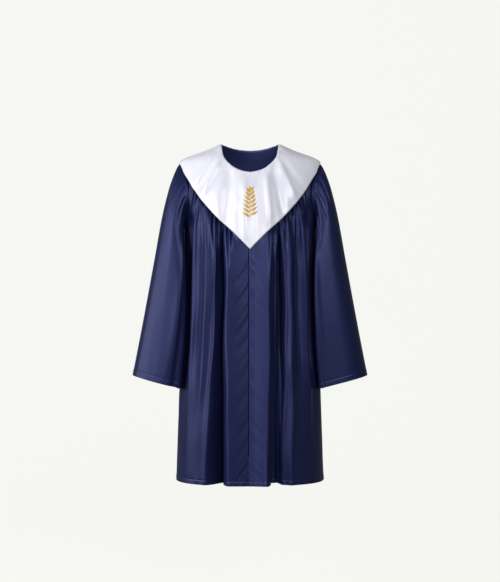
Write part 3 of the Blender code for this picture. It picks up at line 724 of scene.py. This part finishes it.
def panel_grid(folds, rows, per_fold, band_columns, sign, from_back, seed):
    """A gathered panel from the yoke seam to the hem, from its centre to the side seam."""
    seam_turn, seam_relief = fold_course(folds, "seam", per_fold, band_columns)
    chest_turn, chest_relief = fold_course(folds, "chest", per_fold, band_columns)
    hem_turn, hem_relief_of_fold = fold_course(folds, "hem", per_fold, band_columns)
    top = seam_top(seam_turn, from_back) - GATHER_GAP
    share = rows_down(rows, ROWS_DOWN)
    z = top[None, :] + (-GOWN_LENGTH - top[None, :]) * share[:, None]
    below = top - z
    to_chest = ease(below / np.where(chest_relief < DEEP_TROUGH, DEEP_FADE, GATHER_FADE))
    to_hem = ease((z - CHEST_LEVEL) / (-GOWN_LENGTH - CHEST_LEVEL))
    turn = seam_turn + (chest_turn - seam_turn) * to_chest
    turn = turn + (hem_turn - chest_turn) * to_hem
    relief = seam_relief + (chest_relief - seam_relief) * to_chest
    relief = relief + (hem_relief_of_fold - chest_relief) * to_hem
    from_turn = 0 if from_back else GATHERS_FROM_TURN
    folded = ease((seam_turn - from_turn) / TURN_FADE)
    wander = unevenness(seam_turn, z, seed + 1, WANDER_DEG, WANDER_ACROSS, WANDER_DOWN)
    inside = folded * (1 - ease((seam_turn - WANDER_TO_TURN) / TURN_FADE)) * to_chest
    turn = shoulder_margin(beside_armhole(turn + wander * inside, z), z)
    base = on_form(turn, z)
    arc = np.abs(base[..., 0]) + np.abs(base[..., 1])
    sewn_flat = ease(below / SEWN_REACH)
    gathers = seam_gathers(seam_turn, below, from_turn, GATHERS_TO_TURN, GATHERS, seed)
    fine = seam_gathers(seam_turn, below, from_turn, GATHERS_TO_TURN, FINE_GATHERS, seed + 5)
    relief = (relief + (gathers + fine)) * sewn_flat
    relief = relief + folded * unevenness(arc, z, seed + 2, SWELL_RELIEF, SWELL_ACROSS, SWELL_DOWN)
    relief = relief + hem_relief(z + GOWN_LENGTH, HEM_DEPTH, arc, seed + 3)
    from_front = 180 - seam_turn if from_back else seam_turn
    collar_foot = edge_height(COLLAR_EDGE, from_front)
    under = bell(z - collar_foot, UNDER_COLLAR_REACH)
    beside_band = ease((seam_turn - UNDER_COLLAR_FROM_TURN) / UNDER_COLLAR_FADE)
    relief = relief - UNDER_COLLAR * under * beside_band * sewn_flat
    if not from_back:
        off = turn - SLEEVE_TROUGH["turn"][0 if sign < 0 else 1]
        beside = ease((SLEEVE_TROUGH["top"] - z) / SLEEVE_TROUGH_FADE)
        beside = beside * (1 - ease((SLEEVE_TROUGH["bottom"] - z) / SLEEVE_TROUGH_FADE))
        relief = relief - SLEEVE_TROUGH["depth"] * bell(off, SLEEVE_TROUGH["width"]) * beside
        x = np.abs(base[..., 0])
        band = 1 - ease((seam_turn - BAND_END_TURN) / TURN_FADE)
        edge = folds[0][0]
        rise = BAND_RISE[0 if sign < 0 else 1] * np.clip(seam_turn / edge, 0, 1)
        relief = relief + rise * (1 - ease((seam_turn - edge) / BAND_RISE_FADE)) * to_chest
        relief = relief + band * slanting_creases(x, z, seed + 4) * (LEFT_CREASE_GAIN if sign > 0 else 1)
        if sign > 0:
            relief = relief - STITCH_GROOVE * bell(x - FLAP_STITCH_X, STITCH_GROOVE_WIDTH)
            relief = relief + FLAP_LIFT * (1 - ease(x / FLAP_WIDTH))
        else:
            relief = relief - CENTRE_ROLL * bell(x, CENTRE_ROLL_WIDTH)
    z[0] = z[0] + SEAM_TUCK
    relief[0] = relief[0] - SEAM_TUCK
    return off_form(sign * (180 - turn if from_back else turn), z, relief)


def mesh_of(name, points, faces, material):
    mesh = bpy.data.meshes.new(name)
    mesh.from_pydata(points, [], faces)
    mesh.materials.append(material)
    mesh.shade_smooth()
    return mesh


def linked(name, data):
    """A new object of the scene that holds the data."""
    piece = bpy.data.objects.new(name, data)
    bpy.context.scene.collection.objects.link(piece)
    return piece


def lengths_along(grid, axis, closed_round=False):
    """Mean distance run along the grid's columns or rows, from its first one."""
    ring = np.concatenate([grid, grid[:, :1]], axis=1) if closed_round else grid
    steps = np.linalg.norm(np.diff(ring, axis=axis), axis=-1).mean(axis=1 - axis)
    return np.concatenate([[0], np.cumsum(steps)])


def shell(name, grid, material, replaced, closed_round=False):
    """A thin wall of cloth whose outer face is the grid, with a UV map in metres of cloth."""
    rows, columns = grid.shape[:2]
    spans = columns if closed_round else columns - 1
    across = lengths_along(grid, 1, closed_round) * MM
    down = -lengths_along(grid, 0) * MM
    inside = rows * columns
    faces, uvs = [], []
    for r in range(rows - 1):
        for c in range(spans):
            after = (c + 1) % columns
            a, b = r * columns + c, (r + 1) * columns + c
            d, e = (r + 1) * columns + after, r * columns + after
            places = ((across[c], down[r]), (across[c], down[r + 1]))
            places += ((across[c + 1], down[r + 1]), (across[c + 1], down[r]))
            faces += [(a, b, d, e), (a + inside, e + inside, d + inside, b + inside)]
            uvs += [places, (places[0], places[3], places[2], places[1])]
    for loop in rim_loops(rows, columns, closed_round):
        for a, b in zip(loop.tolist(), np.roll(loop, -1).tolist()):
            ends = [(across[i % columns], down[i // columns]) for i in (b, a, a, b)]
            faces.append((b, a, a + inside, b + inside))
            uvs.append(ends)
    points = np.concatenate([grid, inner_face(grid, closed_round)]).reshape(-1, 3)
    mesh = mesh_of(name, (points * MM).tolist(), faces, material)
    layer = mesh.uv_layers.new(name="cloth")
    layer.data.foreach_set("uv", np.array(uvs, np.float32).ravel())
    piece = linked(name, mesh)
    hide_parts(replaced)
    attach(piece, "root")
    return piece


def with_allowance(grid, sink):
    """The grid with a seam allowance past its last column, sunk under its neighbour."""
    edge = grid[:, -1]
    ahead = edge - grid[:, -2]
    ahead = ahead / np.linalg.norm(ahead, axis=-1, keepdims=True)
    inwards = np.stack([-np.sign(edge[:, 0]), edge[:, 1] * 0, edge[:, 1] * 0], axis=-1)
    down = np.array([0, 0, -1.0])
    reach = SHOULDER_TUCK if sink == "down" else SEAM_TUCK
    tuck = edge + ahead * reach + (down if sink == "down" else inwards) * SEAM_SINK
    return np.concatenate([grid, tuck[:, None]], axis=1)


def front_panel(name, folds, sign, seed, material):
    """A front with its edge at the zip. The wearer's left one ends in the band, whose satin is painted
    lighter.
    """
    grid = panel_grid(folds, FRONT_ROWS, COLUMNS_PER_FOLD, BAND_COLUMNS, sign, False, seed)
    grid = with_allowance(grid, "inwards")
    grid = clear_zip(grid, sign)
    if sign > 0:
        near_centre = 1 - ease(grid[..., 0] / ZIP_TAPE_HALF_WIDTH)
        grid[..., 0] -= FLAP_OVERLAP * near_centre
    grid = grid if sign > 0 else grid[:, ::-1]
    piece = shell(name + "_satin", grid, material, name)
    if sign > 0:
        # The band's faces take the satin painted lighter, for the light that the band catches.
        piece.data.materials.append(FLAP_SATIN_PAINTED_LIGHTER)
        spans = grid.shape[1] - 1
        column = np.arange((grid.shape[0] - 1) * spans) % spans
        painted_lighter_faces = np.repeat(column < FLAP_COLUMNS, 2)
        index = np.zeros(len(piece.data.polygons), np.int32)
        index[: len(painted_lighter_faces)] = painted_lighter_faces
        piece.data.polygons.foreach_set("material_index", index)
    return piece, grid


def back_panel(material):
    sizes = (BACK_ROWS, BACK_COLUMNS_PER_FOLD, BACK_BAND_COLUMNS)
    left = panel_grid(LEFT_BACK_FOLDS, *sizes, 1, True, 31)
    right = panel_grid(RIGHT_BACK_FOLDS, *sizes, -1, True, 47)
    middle = (left[:, :1] + right[:, :1]) / 2
    grid = np.concatenate([left[:, :0:-1], middle, right[:, 1:]], axis=1)
    return shell("back_satin", grid, material, "back"), grid


def yoke_grid(sign, from_back):
    """Half a yoke, flat on the form between the neck edge and the seam, from its centre."""
    turn = np.linspace(0, 90, YOKE_COLUMNS)
    from_front = 180 - turn if from_back else turn
    neck = edge_height(NECK_EDGE, from_front)
    seam = yoke_seam_height(from_front)
    z = neck + (seam - neck) * np.linspace(0, 1, YOKE_ROWS)[:, None]
    turn = shoulder_margin(turn, z)
    arc = turn * np.pi / 180 * form_sections(z)[0]
    relief = unevenness(arc, z, *YOKE_UNEVEN)
    return off_form(sign * (180 - turn if from_back else turn), z, relief)


def front_yoke(name, sign, material):
    grid = clear_zip(with_allowance(yoke_grid(sign, False), "down"), sign)
    return shell(name + "_satin", grid if sign > 0 else grid[:, ::-1], material, name)


def back_yoke(material):
    left, right = yoke_grid(1, True), yoke_grid(-1, True)
    grid = np.concatenate([left[:, ::-1], right[:, 1:]], axis=1)
    return shell("back_yoke_satin", grid, material, "back_yoke")


def collar_waves(turn, base):
    """The collar's soft waves: upright ones in front, broad ones behind."""
    waves = zip(*COLLAR_BACK_WAVES.values())
    behind = sum(height * bell(turn - at, width) for at, width, height in waves)
    front = np.zeros(turn.shape)
    for x, width, height, lean in zip(*COLLAR_FRONT_WAVES.values()):
        off = base[..., 0] - x + lean * (base[..., 2] - COLLAR_EDGE["height"][0] / 2)
        front = front + height * bell(off, width)
    return behind + front * (1 - ease((np.abs(turn) - COLLAR_PUFF_TURN) / COLLAR_PUFF_FADE))


def collar(material):
    """The V collar in one round, with a turned edge, shoulder seams and a neck that puckers."""
    step = np.linspace(-180, 180, COLLAR_COLUMNS, endpoint=False)
    turn = step + COLLAR_CROWDING_DEG * np.sin(np.radians(2 * step))
    neck = edge_height(NECK_EDGE, np.abs(turn))
    edge = edge_height(COLLAR_EDGE, np.abs(turn))
    down = rows_down(COLLAR_ROWS, COLLAR_ROWS_DOWN)[:, None]
    z = neck + (edge - neck) * down
    turn, z = np.broadcast_arrays(turn, z)
    base = on_form(turn, z)
    width = np.linalg.norm(base[-1] - base[0], axis=-1)
    from_neck, from_edge = width * down, width * (1 - down)
    lift = COLLAR_LIFT_NECK + (COLLAR_LIFT_EDGE - COLLAR_LIFT_NECK) * ease(down)
    in_front = 1 - ease((np.abs(turn) - COLLAR_PUFF_TURN) / COLLAR_PUFF_FADE)
    waves = collar_waves(turn, base) * COLLAR_WAVE_GAIN + COLLAR_PUFF * in_front
    calm = COLLAR_EDGE_CALM * ease(down * COLLAR_QUARTERS - (COLLAR_QUARTERS - 1))
    relief = lift + waves * ease(down * COLLAR_QUARTERS) * (1 - calm)
    arc = turn * np.pi / 180 * NECK_RADIUS
    pucker = seam_gathers(arc, from_neck, -180, 180, NECK_PUCKERS, 71)
    relief = relief + pucker
    relief = relief - EDGE_ROLL * bell(from_edge, EDGE_ROLL_WIDTH)
    relief = relief - EDGE_ROLL * bell(from_neck, EDGE_ROLL_WIDTH)
    reach = np.linalg.norm(base[..., :2], axis=-1)
    off_seam = (np.abs(turn) - SHOULDER_SEAM_TURN) * np.pi / 180 * reach
    relief = relief - SHOULDER_SEAM_RELIEF * bell(off_seam, SHOULDER_SEAM_WIDTH)
    relief = relief + unevenness(base[..., 0], base[..., 2], *COLLAR_UNEVEN)
    return shell("collar_satin", off_form(turn, z, relief), material, "collar", True)


def sleeve_relief(folds, around, share):
    fold = dict(zip(SLEEVE_FOLD_COLUMNS, np.array(folds, float).T))
    relief = np.zeros(around.shape)
    to_elbow, to_cuff = ease(share / SLEEVE_GATHER_FADE), ease(share * 2 - 1)
    for i, place in enumerate(fold["place"]):
        apart = (np.degrees(around) - place + 180) % 360 - 180
        height = fold["armhole"][i] + (fold["elbow"][i] - fold["armhole"][i]) * to_elbow
        height = height + (fold["cuff"][i] - fold["elbow"][i]) * to_cuff
        relief = relief + height * bell(apart, fold["width"][i])
    return relief


def sleeve_grid(folds, sign, seed):
    """Rings of a bell sleeve from the armhole to the cuff."""
    share = rows_down(SLEEVE_ROWS, SLEEVE_ROWS_DOWN)[:, None]
    around = np.radians(np.linspace(0, 360, SLEEVE_COLUMNS, endpoint=False))
    share, around = np.broadcast_arrays(share, around[None, :])
    line = {name: along(SLEEVE["share"], SLEEVE[name], share) for name in SLEEVE}
    outer_side = np.cos(around) >= 0
    power = 2 / np.where(outer_side, line["outer_squareness"], line["inner_squareness"])
    across = np.sign(np.cos(around)) * np.abs(np.cos(around)) ** power
    forward = np.sign(np.sin(around)) * np.abs(np.sin(around)) ** power
    to_cuff = (1 - share) * SLEEVE_LENGTH
    from_head = share * SLEEVE_LENGTH
    arc = np.degrees(around)
    relief = sleeve_relief(folds, around, share)
    relief = relief + seam_gathers(arc, from_head, 0, 360, HEAD_GATHERS, seed)
    turn_down = INNER_RIDGE["turn_down"][0 if sign < 0 else 1]
    off = arc - INNER_RIDGE["place"] - turn_down * share
    beside = ease(from_head / INNER_RIDGE["top"]) * (1 - INNER_RIDGE["calm"] * ease(share * 2 - 1))
    relief = relief + INNER_RIDGE["relief"] * bell(off, INNER_RIDGE["width"]) * beside
    relief = relief - ARMHOLE_VALLEY * bell(from_head, ARMHOLE_VALLEY_WIDTH)
    relief = relief + hem_relief(to_cuff, CUFF_HEM_DEPTH, arc * SLEEVE_GIRTH / 360, seed + 2)
    half_x = (line["outer_x"] - line["inner_x"]) / 2
    half_z = (line["outer_z"] - line["inner_z"]) / 2
    grow = 1 + relief / np.hypot(np.hypot(half_x, half_z) * across, line["half_depth"] * forward)
    x = (line["outer_x"] + line["inner_x"]) / 2 + half_x * across * grow
    z = (line["outer_z"] + line["inner_z"]) / 2 + half_z * across * grow
    y = -line["half_depth"] * forward * grow * (1 - SLEEVE_EGG * across)
    free = np.stack([sign * x, y, z], axis=-1)
    from_body = ease(share / ARMHOLE_BLEND)[..., None]
    grid = armhole_loop(around, sign) * (1 - from_body) + free * from_body
    clear = ARMHOLE_LIFT + CLOTH_WALL + SLEEVE_CLEARANCE * ease(share / ARMHOLE_BLEND)
    limit = form_half_width_at(grid[..., 1], np.minimum(grid[..., 2], 0)) + clear
    outside = np.maximum(np.abs(grid[..., 0]), limit)
    grid[1:, :, 0] = sign * outside[1:]
    grid[0, :, 0] -= sign * HEAD_TUCK
    return grid


def sleeve(name, folds, sign, seed, material):
    grid = sleeve_grid(folds, sign, seed)
    if sign > 0:
        grid = grid[:, ::-1]
    return shell(name + "_satin", grid, material, name, True), grid


def linear(code):
    """An sRGB hex code as the linear colour that sockets take."""
    shares = [int(code[i : i + 2], 16) / 255 for i in (1, 3, 5)]
    return (*[s / 12.92 if s <= 0.04045 else ((s + 0.055) / 1.055) ** 2.4 for s in shares], 1.0)


def add_node(tree, kind, sockets, **settings):
    """One node: settings are its own, and each socket takes a value or another node's output."""
    node = tree.nodes.new(kind)
    for name, value in settings.items():
        setattr(node, name, value)
    for name, value in sockets.items():
        if isinstance(value, bpy.types.NodeSocket):
            tree.links.new(value, node.inputs[name])
        else:
            node.inputs[name].default_value = value
    return node


def plain_material(name, colour, roughness, **sockets):
    material = bpy.data.materials.new(name)
    material.use_nodes = True
    shader = material.node_tree.nodes["Principled BSDF"]
    shader.inputs["Base Color"].default_value = linear(colour)
    shader.inputs["Roughness"].default_value = roughness
    for socket, value in sockets.items():
        shader.inputs[socket.replace("_", " ")].default_value = value
    return material


def satin(name, colour, shade, roughness, **sockets):
    """Polyester satin: long floats down the cloth blur its gloss into soft streaks."""
    material = plain_material(name, colour, roughness, **sockets)
    tree = material.node_tree
    shader = tree.nodes["Principled BSDF"]
    place = add_node(tree, "ShaderNodeUVMap", {}, uv_map="cloth").outputs["UV"]
    drawn_out = (WARP_STREAKS_PER_M, WEFT_STREAKS_PER_M, 1)
    streaks = add_node(tree, "ShaderNodeMapping", {"Vector": place, "Scale": drawn_out})
    streak = {"Vector": streaks.outputs["Vector"], "Scale": 1, "Detail": STREAK_DETAIL}
    streak = add_node(tree, "ShaderNodeTexNoise", streak)
    tone = add_node(tree, "ShaderNodeMix", {"Factor": streak.outputs["Fac"]}, data_type="RGBA")
    tone.inputs["A"].default_value = linear(shade)
    tone.inputs["B"].default_value = linear(colour)
    tree.links.new(tone.outputs["Result"], shader.inputs["Base Color"])
    relief = {"Height": streak.outputs["Fac"], "Strength": STREAK_STRENGTH, "Distance": STREAK_DEPTH_M}
    relief = add_node(tree, "ShaderNodeBump", relief)
    tree.links.new(relief.outputs["Normal"], shader.inputs["Normal"])
    return material


def from_ops(name, material):
    """Takes the shape that an operator has just made, with its one material."""
    piece = bpy.context.view_layer.objects.active
    piece.name = name
    piece.data.name = name
    piece.data.materials.append(material)
    return piece


def strewn(name, pattern, places):
    """Copies of one modelled shape at many places, joined into one piece."""
    shape = pattern.data
    count = len(shape.vertices)
    points = np.empty(count * 3)
    shape.vertices.foreach_get("co", points)
    points = points.reshape(-1, 3)
    corners_of = [list(face.vertices) for face in shape.polygons]
    turned = [points @ np.array(p.to_3x3()).T + np.array(p.translation) for p in places]
    faces = [[v + i * count for v in face] for i in range(len(places)) for face in corners_of]
    mesh = mesh_of(name, np.concatenate(turned).tolist(), faces, shape.materials[0])
    piece = linked(name, mesh)
    bpy.data.objects.remove(pattern)
    return piece


def places_along(line, pitch, outward, sides=(0,), aside=0.0):
    """A frame every pitch mm of a line: x runs along it and z points outwards."""
    steps = np.linalg.norm(np.diff(line, axis=0), axis=-1)
    run = np.concatenate([[0], np.cumsum(steps)])
    at = np.arange(pitch / 2, run[-1], pitch)
    centre = np.stack([np.interp(at, run, line[:, i]) for i in range(3)], axis=-1)
    ahead = np.stack([np.interp(at + pitch / 4, run, line[:, i]) for i in range(3)], axis=-1)
    places = []
    for i, (here, there) in enumerate(zip(centre, ahead)):
        x = Vector(there - here).normalized()
        z = Vector(outward(here)).normalized()
        y = z.cross(x).normalized()
        z = x.cross(y)
        turn = Matrix((x, y, z)).transposed().to_4x4()
        shift = Vector(here) + y * aside * sides[i % len(sides)]
        places.append(Matrix.Translation(shift * MM) @ turn)
    return places


def away_from_axis(x_axis, y_axis=0.0):
    """Outward direction, level, from an upright axis."""
    return lambda here: (here[0] - x_axis, here[1] - y_axis, 0.0)


def stitch_row(name, line, outward, material):
    """A row of lockstitches: one thread modelled once and laid along the sewn line."""
    bpy.ops.object.select_all(action="DESELECT")
    size = (THREAD_RADIUS * MM, THREAD_RADIUS * MM, STITCH_LENGTH / 2 * MM)
    bpy.ops.mesh.primitive_uv_sphere_add(segments=8, ring_count=6, radius=1, scale=size)
    bpy.ops.object.transform_apply(location=False, rotation=False, scale=True)
    bpy.ops.transform.rotate(value=np.pi / 2, orient_axis="Y")
    bpy.ops.object.transform_apply(location=False, rotation=True, scale=False)
    thread = from_ops("stitch", material)
    row = strewn(name, thread, places_along(line, STITCH_PITCH, outward))
    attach(row, "root")
    return row


def zip_teeth(material):
    """The closed nylon coil: one bent loop, modelled once and laid down both sides."""
    bpy.ops.object.select_all(action="DESELECT")
    ring = {"major_segments": 10, "minor_segments": 6}
    sizes = {"major_radius": COIL_RADIUS * MM, "minor_radius": COIL_WIRE * MM}
    bpy.ops.mesh.primitive_torus_add(rotation=(0, np.pi / 2, 0), **ring, **sizes)
    bpy.ops.object.transform_apply(location=False, rotation=True, scale=False)
    loop = from_ops("coil_loop", material)
    heights = np.linspace(ZIP_TOP, ZIP_END, ZIP_ROWS)
    line = off_form(0.0, heights, -ZIP_CHAIN_RADIUS / 2)
    places = places_along(line, COIL_PITCH, lambda here: (0, -1, 0), (-1, 1), COIL_ASIDE)
    coil = strewn("zip_coil", loop, places)
    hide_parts("zip_chain")
    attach(coil, "root")
    return coil


def zip_tape(material):
    x_share = np.linspace(-1, 1, ZIP_TAPE_COLUMNS)
    z = np.linspace(ZIP_TOP, ZIP_END, ZIP_ROWS)[:, None]
    turn = np.degrees(np.arctan2(x_share * ZIP_TAPE_HALF_WIDTH, form_sections(z)[1]))
    grid = off_form(turn, z, -CLOTH_WALL - ZIP_TAPE_GAP)
    tape = shell("zip_tape_woven", grid, material, "zip_tape")
    return tape


def leaf_places():
    """Where the sprig's leaves start, how they lean and how long they are, from its foot up."""
    top = SPRIG_TOP - LEAVES["below_top"]
    heights = np.linspace(SPRIG_FOOT + LEAVES["above_foot"], top, SPRIG_PAIRS)
    for i, z in enumerate(heights):
        share = i / (SPRIG_PAIRS - 1)
        length = LEAVES["length"] - LEAVES["length_loss"] * share
        for side in (-1, 1):
            lean = side * (LEAVES["lean"] - LEAVES["lean_loss"] * share)
            yield side * LEAVES["aside"], z + (LEAVES["stagger"] if side > 0 else 0), lean, length
    yield 0.0, top, 0.0, LEAVES["tip_length"]


def sprig_shape(material):
    """Gold embroidery: padded leaves on a stem, each crossed by ridges of satin stitch."""
    leaves = []
    for x, z, lean, length in leaf_places():
        bpy.ops.object.select_all(action="DESELECT")
        bpy.ops.mesh.primitive_uv_sphere_add(segments=14, ring_count=LEAF_RINGS, radius=1)
        leaf = from_ops("leaf", material)
        points = np.empty(len(leaf.data.vertices) * 3)
        leaf.data.vertices.foreach_get("co", points)
        points = points.reshape(-1, 3)
        share = (1 - points[:, 2]) / 2
        wide = LEAF_HALF_WIDTH * np.sin(np.pi * share ** LEAF_FULLNESS[0]) ** LEAF_FULLNESS[1]
        ring = np.maximum(np.hypot(points[:, 0], points[:, 1]), 1e-6)
        across = points[:, 0] / ring * wide
        thread = share * length + np.abs(across) * STITCH_SLANT
        ridge = 1 + STITCH_RIDGE * np.sin(2 * np.pi * thread / THREAD_PITCH)
        proud = points[:, 1] / ring * LEAF_PADDING * np.sin(np.pi * share) ** 0.5 * ridge
        proud = proud * (1 - VEIN_DEPTH * bell(across, VEIN_WIDTH))
        leaned = np.radians(lean)
        up = share * length
        placed_x = x + across * np.cos(leaned) + up * np.sin(leaned)
        placed_z = z - across * np.sin(leaned) + up * np.cos(leaned)
        leaf.data.vertices.foreach_set("co", np.stack([placed_x, -proud, placed_z], -1).ravel())
        leaves.append(leaf)
    bpy.ops.object.select_all(action="DESELECT")
    stem_top = SPRIG_TOP - STEM_BELOW_TOP
    stem_size = (STEM_HALF_WIDTH, STEM_PADDING, (stem_top - SPRIG_FOOT) / 2)
    centre = (0, 0, (stem_top + SPRIG_FOOT) / 2)
    bpy.ops.mesh.primitive_uv_sphere_add(segments=12, ring_count=LEAF_RINGS, radius=1)
    stem = from_ops("stem", material)
    stem.data.transform(Matrix.Translation(centre) @ Matrix.Diagonal((*stem_size, 1)))
    return [stem, *leaves]


def embroidery(material, ground):
    """Lays the sprig on the collar: each point keeps its height above the cloth under it."""
    parts = sprig_shape(material)
    bpy.ops.object.select_all(action="DESELECT")
    for part in parts:
        part.select_set(True)
    bpy.context.view_layer.objects.active = parts[0]
    bpy.ops.object.join()
    sprig = bpy.context.view_layer.objects.active
    sprig.name = "laurel_sprig_embroidery"
    for vertex in sprig.data.vertices:
        x, proud, z = vertex.co
        hit = ground.ray_cast(Vector((x * MM, -1.0, z * MM)), Vector((0, 1, 0)))[0]
        vertex.co = (x * MM, hit.y + (proud - LEAF_SINK) * MM, z * MM)
    sprig.data.shade_smooth()
    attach(sprig, "root")
    return sprig


def level_line(grid, above_hem):
    """Where a panel's columns pass a height above the hem."""
    height = -GOWN_LENGTH + above_hem
    places = []
    for column in grid.transpose(1, 0, 2):
        rising = column[::-1]
        places.append([np.interp(height, rising[:, 2], rising[:, i]) for i in range(3)])
    return np.array(places)


def stage():
    """A pale floor that curves up into a wall. It gives its own even light, and neither lights the
    gown nor shows in its gloss."""
    paper = plain_material(
        "backdrop_paper", "#3C3C3A", 0.9, Emission_Color=linear("#F6F7F2"), Emission_Strength=0.96
    )
    run = np.linspace(0, 1, 40)
    floor = np.linspace(-FLOOR_REACH, FLOOR_BACK, 10)
    y = np.concatenate([floor, FLOOR_BACK + FLOOR_CURVE * np.sin(run * np.pi / 2)])
    rise = FLOOR_Z + FLOOR_CURVE * (1 - np.cos(run * np.pi / 2))
    z = np.concatenate([np.full(len(floor), FLOOR_Z), rise])
    y, z = np.append(y, FLOOR_BACK + FLOOR_CURVE), np.append(z, WALL_TOP)
    points = [(x, b, c) for b, c in zip(y, z) for x in (-FLOOR_REACH, FLOOR_REACH)]
    faces = [(2 * i, 2 * i + 1, 2 * i + 3, 2 * i + 2) for i in range(len(y) - 1)]
    backdrop = linked("backdrop", mesh_of("backdrop", points, faces, paper))
    backdrop.visible_diffuse = False
    backdrop.visible_glossy = False


def softbox(name, place, target, size, watts):
    lamp = bpy.data.lights.new(name, "AREA")
    lamp.size = size
    lamp.energy = watts
    light = linked(name, lamp)
    light.location = place
    light.rotation_euler = (Vector(target) - Vector(place)).to_track_quat("-Z", "Y").to_euler()


def studio():
    world = bpy.data.worlds.new("studio")
    world.use_nodes = True
    background = world.node_tree.nodes["Background"]
    background.inputs["Color"].default_value = linear("#F5F6F1")
    background.inputs["Strength"].default_value = WORLD_STRENGTH
    bpy.context.scene.world = world
    for light in LIGHTS:
        softbox(*light)
    lens = bpy.data.cameras.new("photo_camera")
    lens.lens = CAMERA_LENS
    lens.sensor_width = CAMERA_SENSOR
    camera = linked("photo_camera", lens)
    camera.location = CAMERA_PLACE
    camera.rotation_euler = (np.pi / 2, 0, 0)
    bpy.context.scene.camera = camera
    bpy.context.scene.view_settings.view_transform = "Standard"


# Polyester satin, deep navy: a broad soft gloss, and a faint lavender sheen where it turns away.
NAVY_TINTS = {
    "Specular_Tint": linear("#ABB3FF"), "Sheen_Tint": linear("#8F92C8"), "Sheen_Roughness": 0.4,
}
NAVY = satin(
    "navy_satin_cloth", "#181F45", "#151B3C", 0.38, Sheen_Weight=0.05, Specular_IOR_Level=0.48,
    **NAVY_TINTS,
)
# The band beside the zip: a copy of the navy satin with a stronger and broader gloss. Its lighter
# colour is painted light, for the light the band catches more than the cloth beside it; its tone
# was matched to the photograph. That the band is a flap of its own is a guess.
FLAP_SATIN_PAINTED_LIGHTER = satin(
    "navy_satin_flap", "#20284F", "#1C2449", 0.46, Sheen_Weight=0.12, Specular_IOR_Level=0.62,
    **NAVY_TINTS,
)
# The back yoke, whose inside shows in the neck: duller, as the reverse of satin is, and paler,
# partly as the reverse is and partly as painted light that lifts the shaded inside of the neck.
# Its tone was matched.
REVERSE_PAINTED_PALER = satin("navy_satin_reverse", "#3A427C", "#343B70", 0.6)
# Polyester satin, white with a cool cast in its shade. The faint emission isn't the real cloth's:
# it lifts the collar's shaded side, which renders darker than the photograph without it.
WHITE = satin(
    "white_satin_cloth", "#DEDEE8", "#D2D2E2", 0.3, Sheen_Weight=0.05, Specular_IOR_Level=0.7,
    Emission_Color=linear("#EFEFFA"), Emission_Strength=0.09,
)
# Woven polyester tape and nylon coil of the zip, duller than the cloth.
TAPE = satin("zip_tape_weave", "#15183A", "#101330", 0.7)
COIL = plain_material("nylon_coil", "#14173A", 0.35)
# Spun polyester sewing thread, a shade lighter than the cloth, so that rows of stitches show.
THREAD = plain_material("navy_thread", "#1C2248", 0.6)
# Rayon embroidery thread, gold with a silky gloss.
GOLD = plain_material("gold_rayon_thread", "#D4A53C", 0.38, Sheen_Weight=0.2)

front_right, right_grid = front_panel("front_right", RIGHT_FRONT_FOLDS, -1, 11, NAVY)
front_left, left_grid = front_panel("front_left", LEFT_FRONT_FOLDS, 1, 23, NAVY)
back, back_grid = back_panel(NAVY)
yoke_right = front_yoke("front_yoke_right", -1, NAVY)
yoke_left = front_yoke("front_yoke_left", 1, NAVY)
# The back yoke's satin is painted paler, as light in the shaded inside of the neck.
yoke_back = back_yoke(REVERSE_PAINTED_PALER)
white_collar = collar(WHITE)
sleeve_right, cuff_right = sleeve("sleeve_right", RIGHT_SLEEVE_FOLDS, -1, 53, NAVY)
sleeve_left, cuff_left = sleeve("sleeve_left", LEFT_SLEEVE_FOLDS, 1, 67, NAVY)
tape = zip_tape(TAPE)
zip_teeth(COIL)

studio()
stage()


# Rows of stitches: the hem's, both cuffs' and the zip flap's.
hem = {"front_right": right_grid, "back": back_grid, "front_left": left_grid}
stitches = {}
for name, grid in hem.items():
    line = level_line(grid, HEM_DEPTH)
    stitches[name] = [stitch_row("stitches_hem_" + name, line, away_from_axis(0), THREAD)]
cuff_share = 1 - rows_down(SLEEVE_ROWS, SLEEVE_ROWS_DOWN)
cuff_row = np.argmin(np.abs(cuff_share * SLEEVE_LENGTH - CUFF_HEM_DEPTH))
for name, grid in {"sleeve_right": cuff_right, "sleeve_left": cuff_left}.items():
    ring = np.concatenate([grid[cuff_row], grid[cuff_row, :1]])
    outward = away_from_axis(ring[:, 0].mean())
    stitches[name] = [stitch_row("stitches_cuff_" + name, ring, outward, THREAD)]
flap_line = []
for row in left_grid:
    flap_line.append([np.interp(FLAP_STITCH_X, row[:, 0], row[:, i]) for i in range(3)])
flap_line = [place for place in flap_line if place[2] < COLLAR_EDGE["height"][0]]
flap_row = stitch_row("stitches_flap", np.array(flap_line), away_from_axis(0), THREAD)
stitches["front_left"].append(flap_row)


# Embroidery on the collar.
bpy.context.view_layer.update()
ground = BVHTree.FromObject(white_collar, bpy.context.evaluated_depsgraph_get())
embroidery(GOLD, ground)

# Each piece's cut: width and length in metres, what holds it and where, and its flat area in
# square metres. The areas are measured along the cloth, as are the sizes of all but the collar
# and the yokes, which are estimates.
CUTS = (
    (front_right, (0.29, 0.645), "gathered", [yoke_right], 0.134),
    (front_left, (0.292, 0.645), "gathered", [yoke_left], 0.135),
    (back, (0.5, 0.645), "gathered", [yoke_back], 0.256),
    (yoke_right, (0.24, 0.147), "hung", [yoke_back], 0.0161),
    (yoke_left, (0.24, 0.147), "hung", [yoke_back], 0.0161),
    (yoke_back, (0.42, 0.15), "hung", ["back_yoke"], 0.034),
    (white_collar, (0.32, 0.4), "laid", [yoke_right, yoke_left, yoke_back], 0.079),
    (sleeve_right, (0.387, 0.44), "gathered", [yoke_right, front_right, back], 0.12),
    (sleeve_left, (0.387, 0.44), "gathered", [yoke_left, front_left, back], 0.12),
    (tape, (0.022, 0.501), "hung", [front_right, front_left], None),
)
for piece, flat, held, above, area in CUTS:
    row = stitches.get(piece.name.removesuffix("_satin"), [])

bpy.context.view_layer.update()
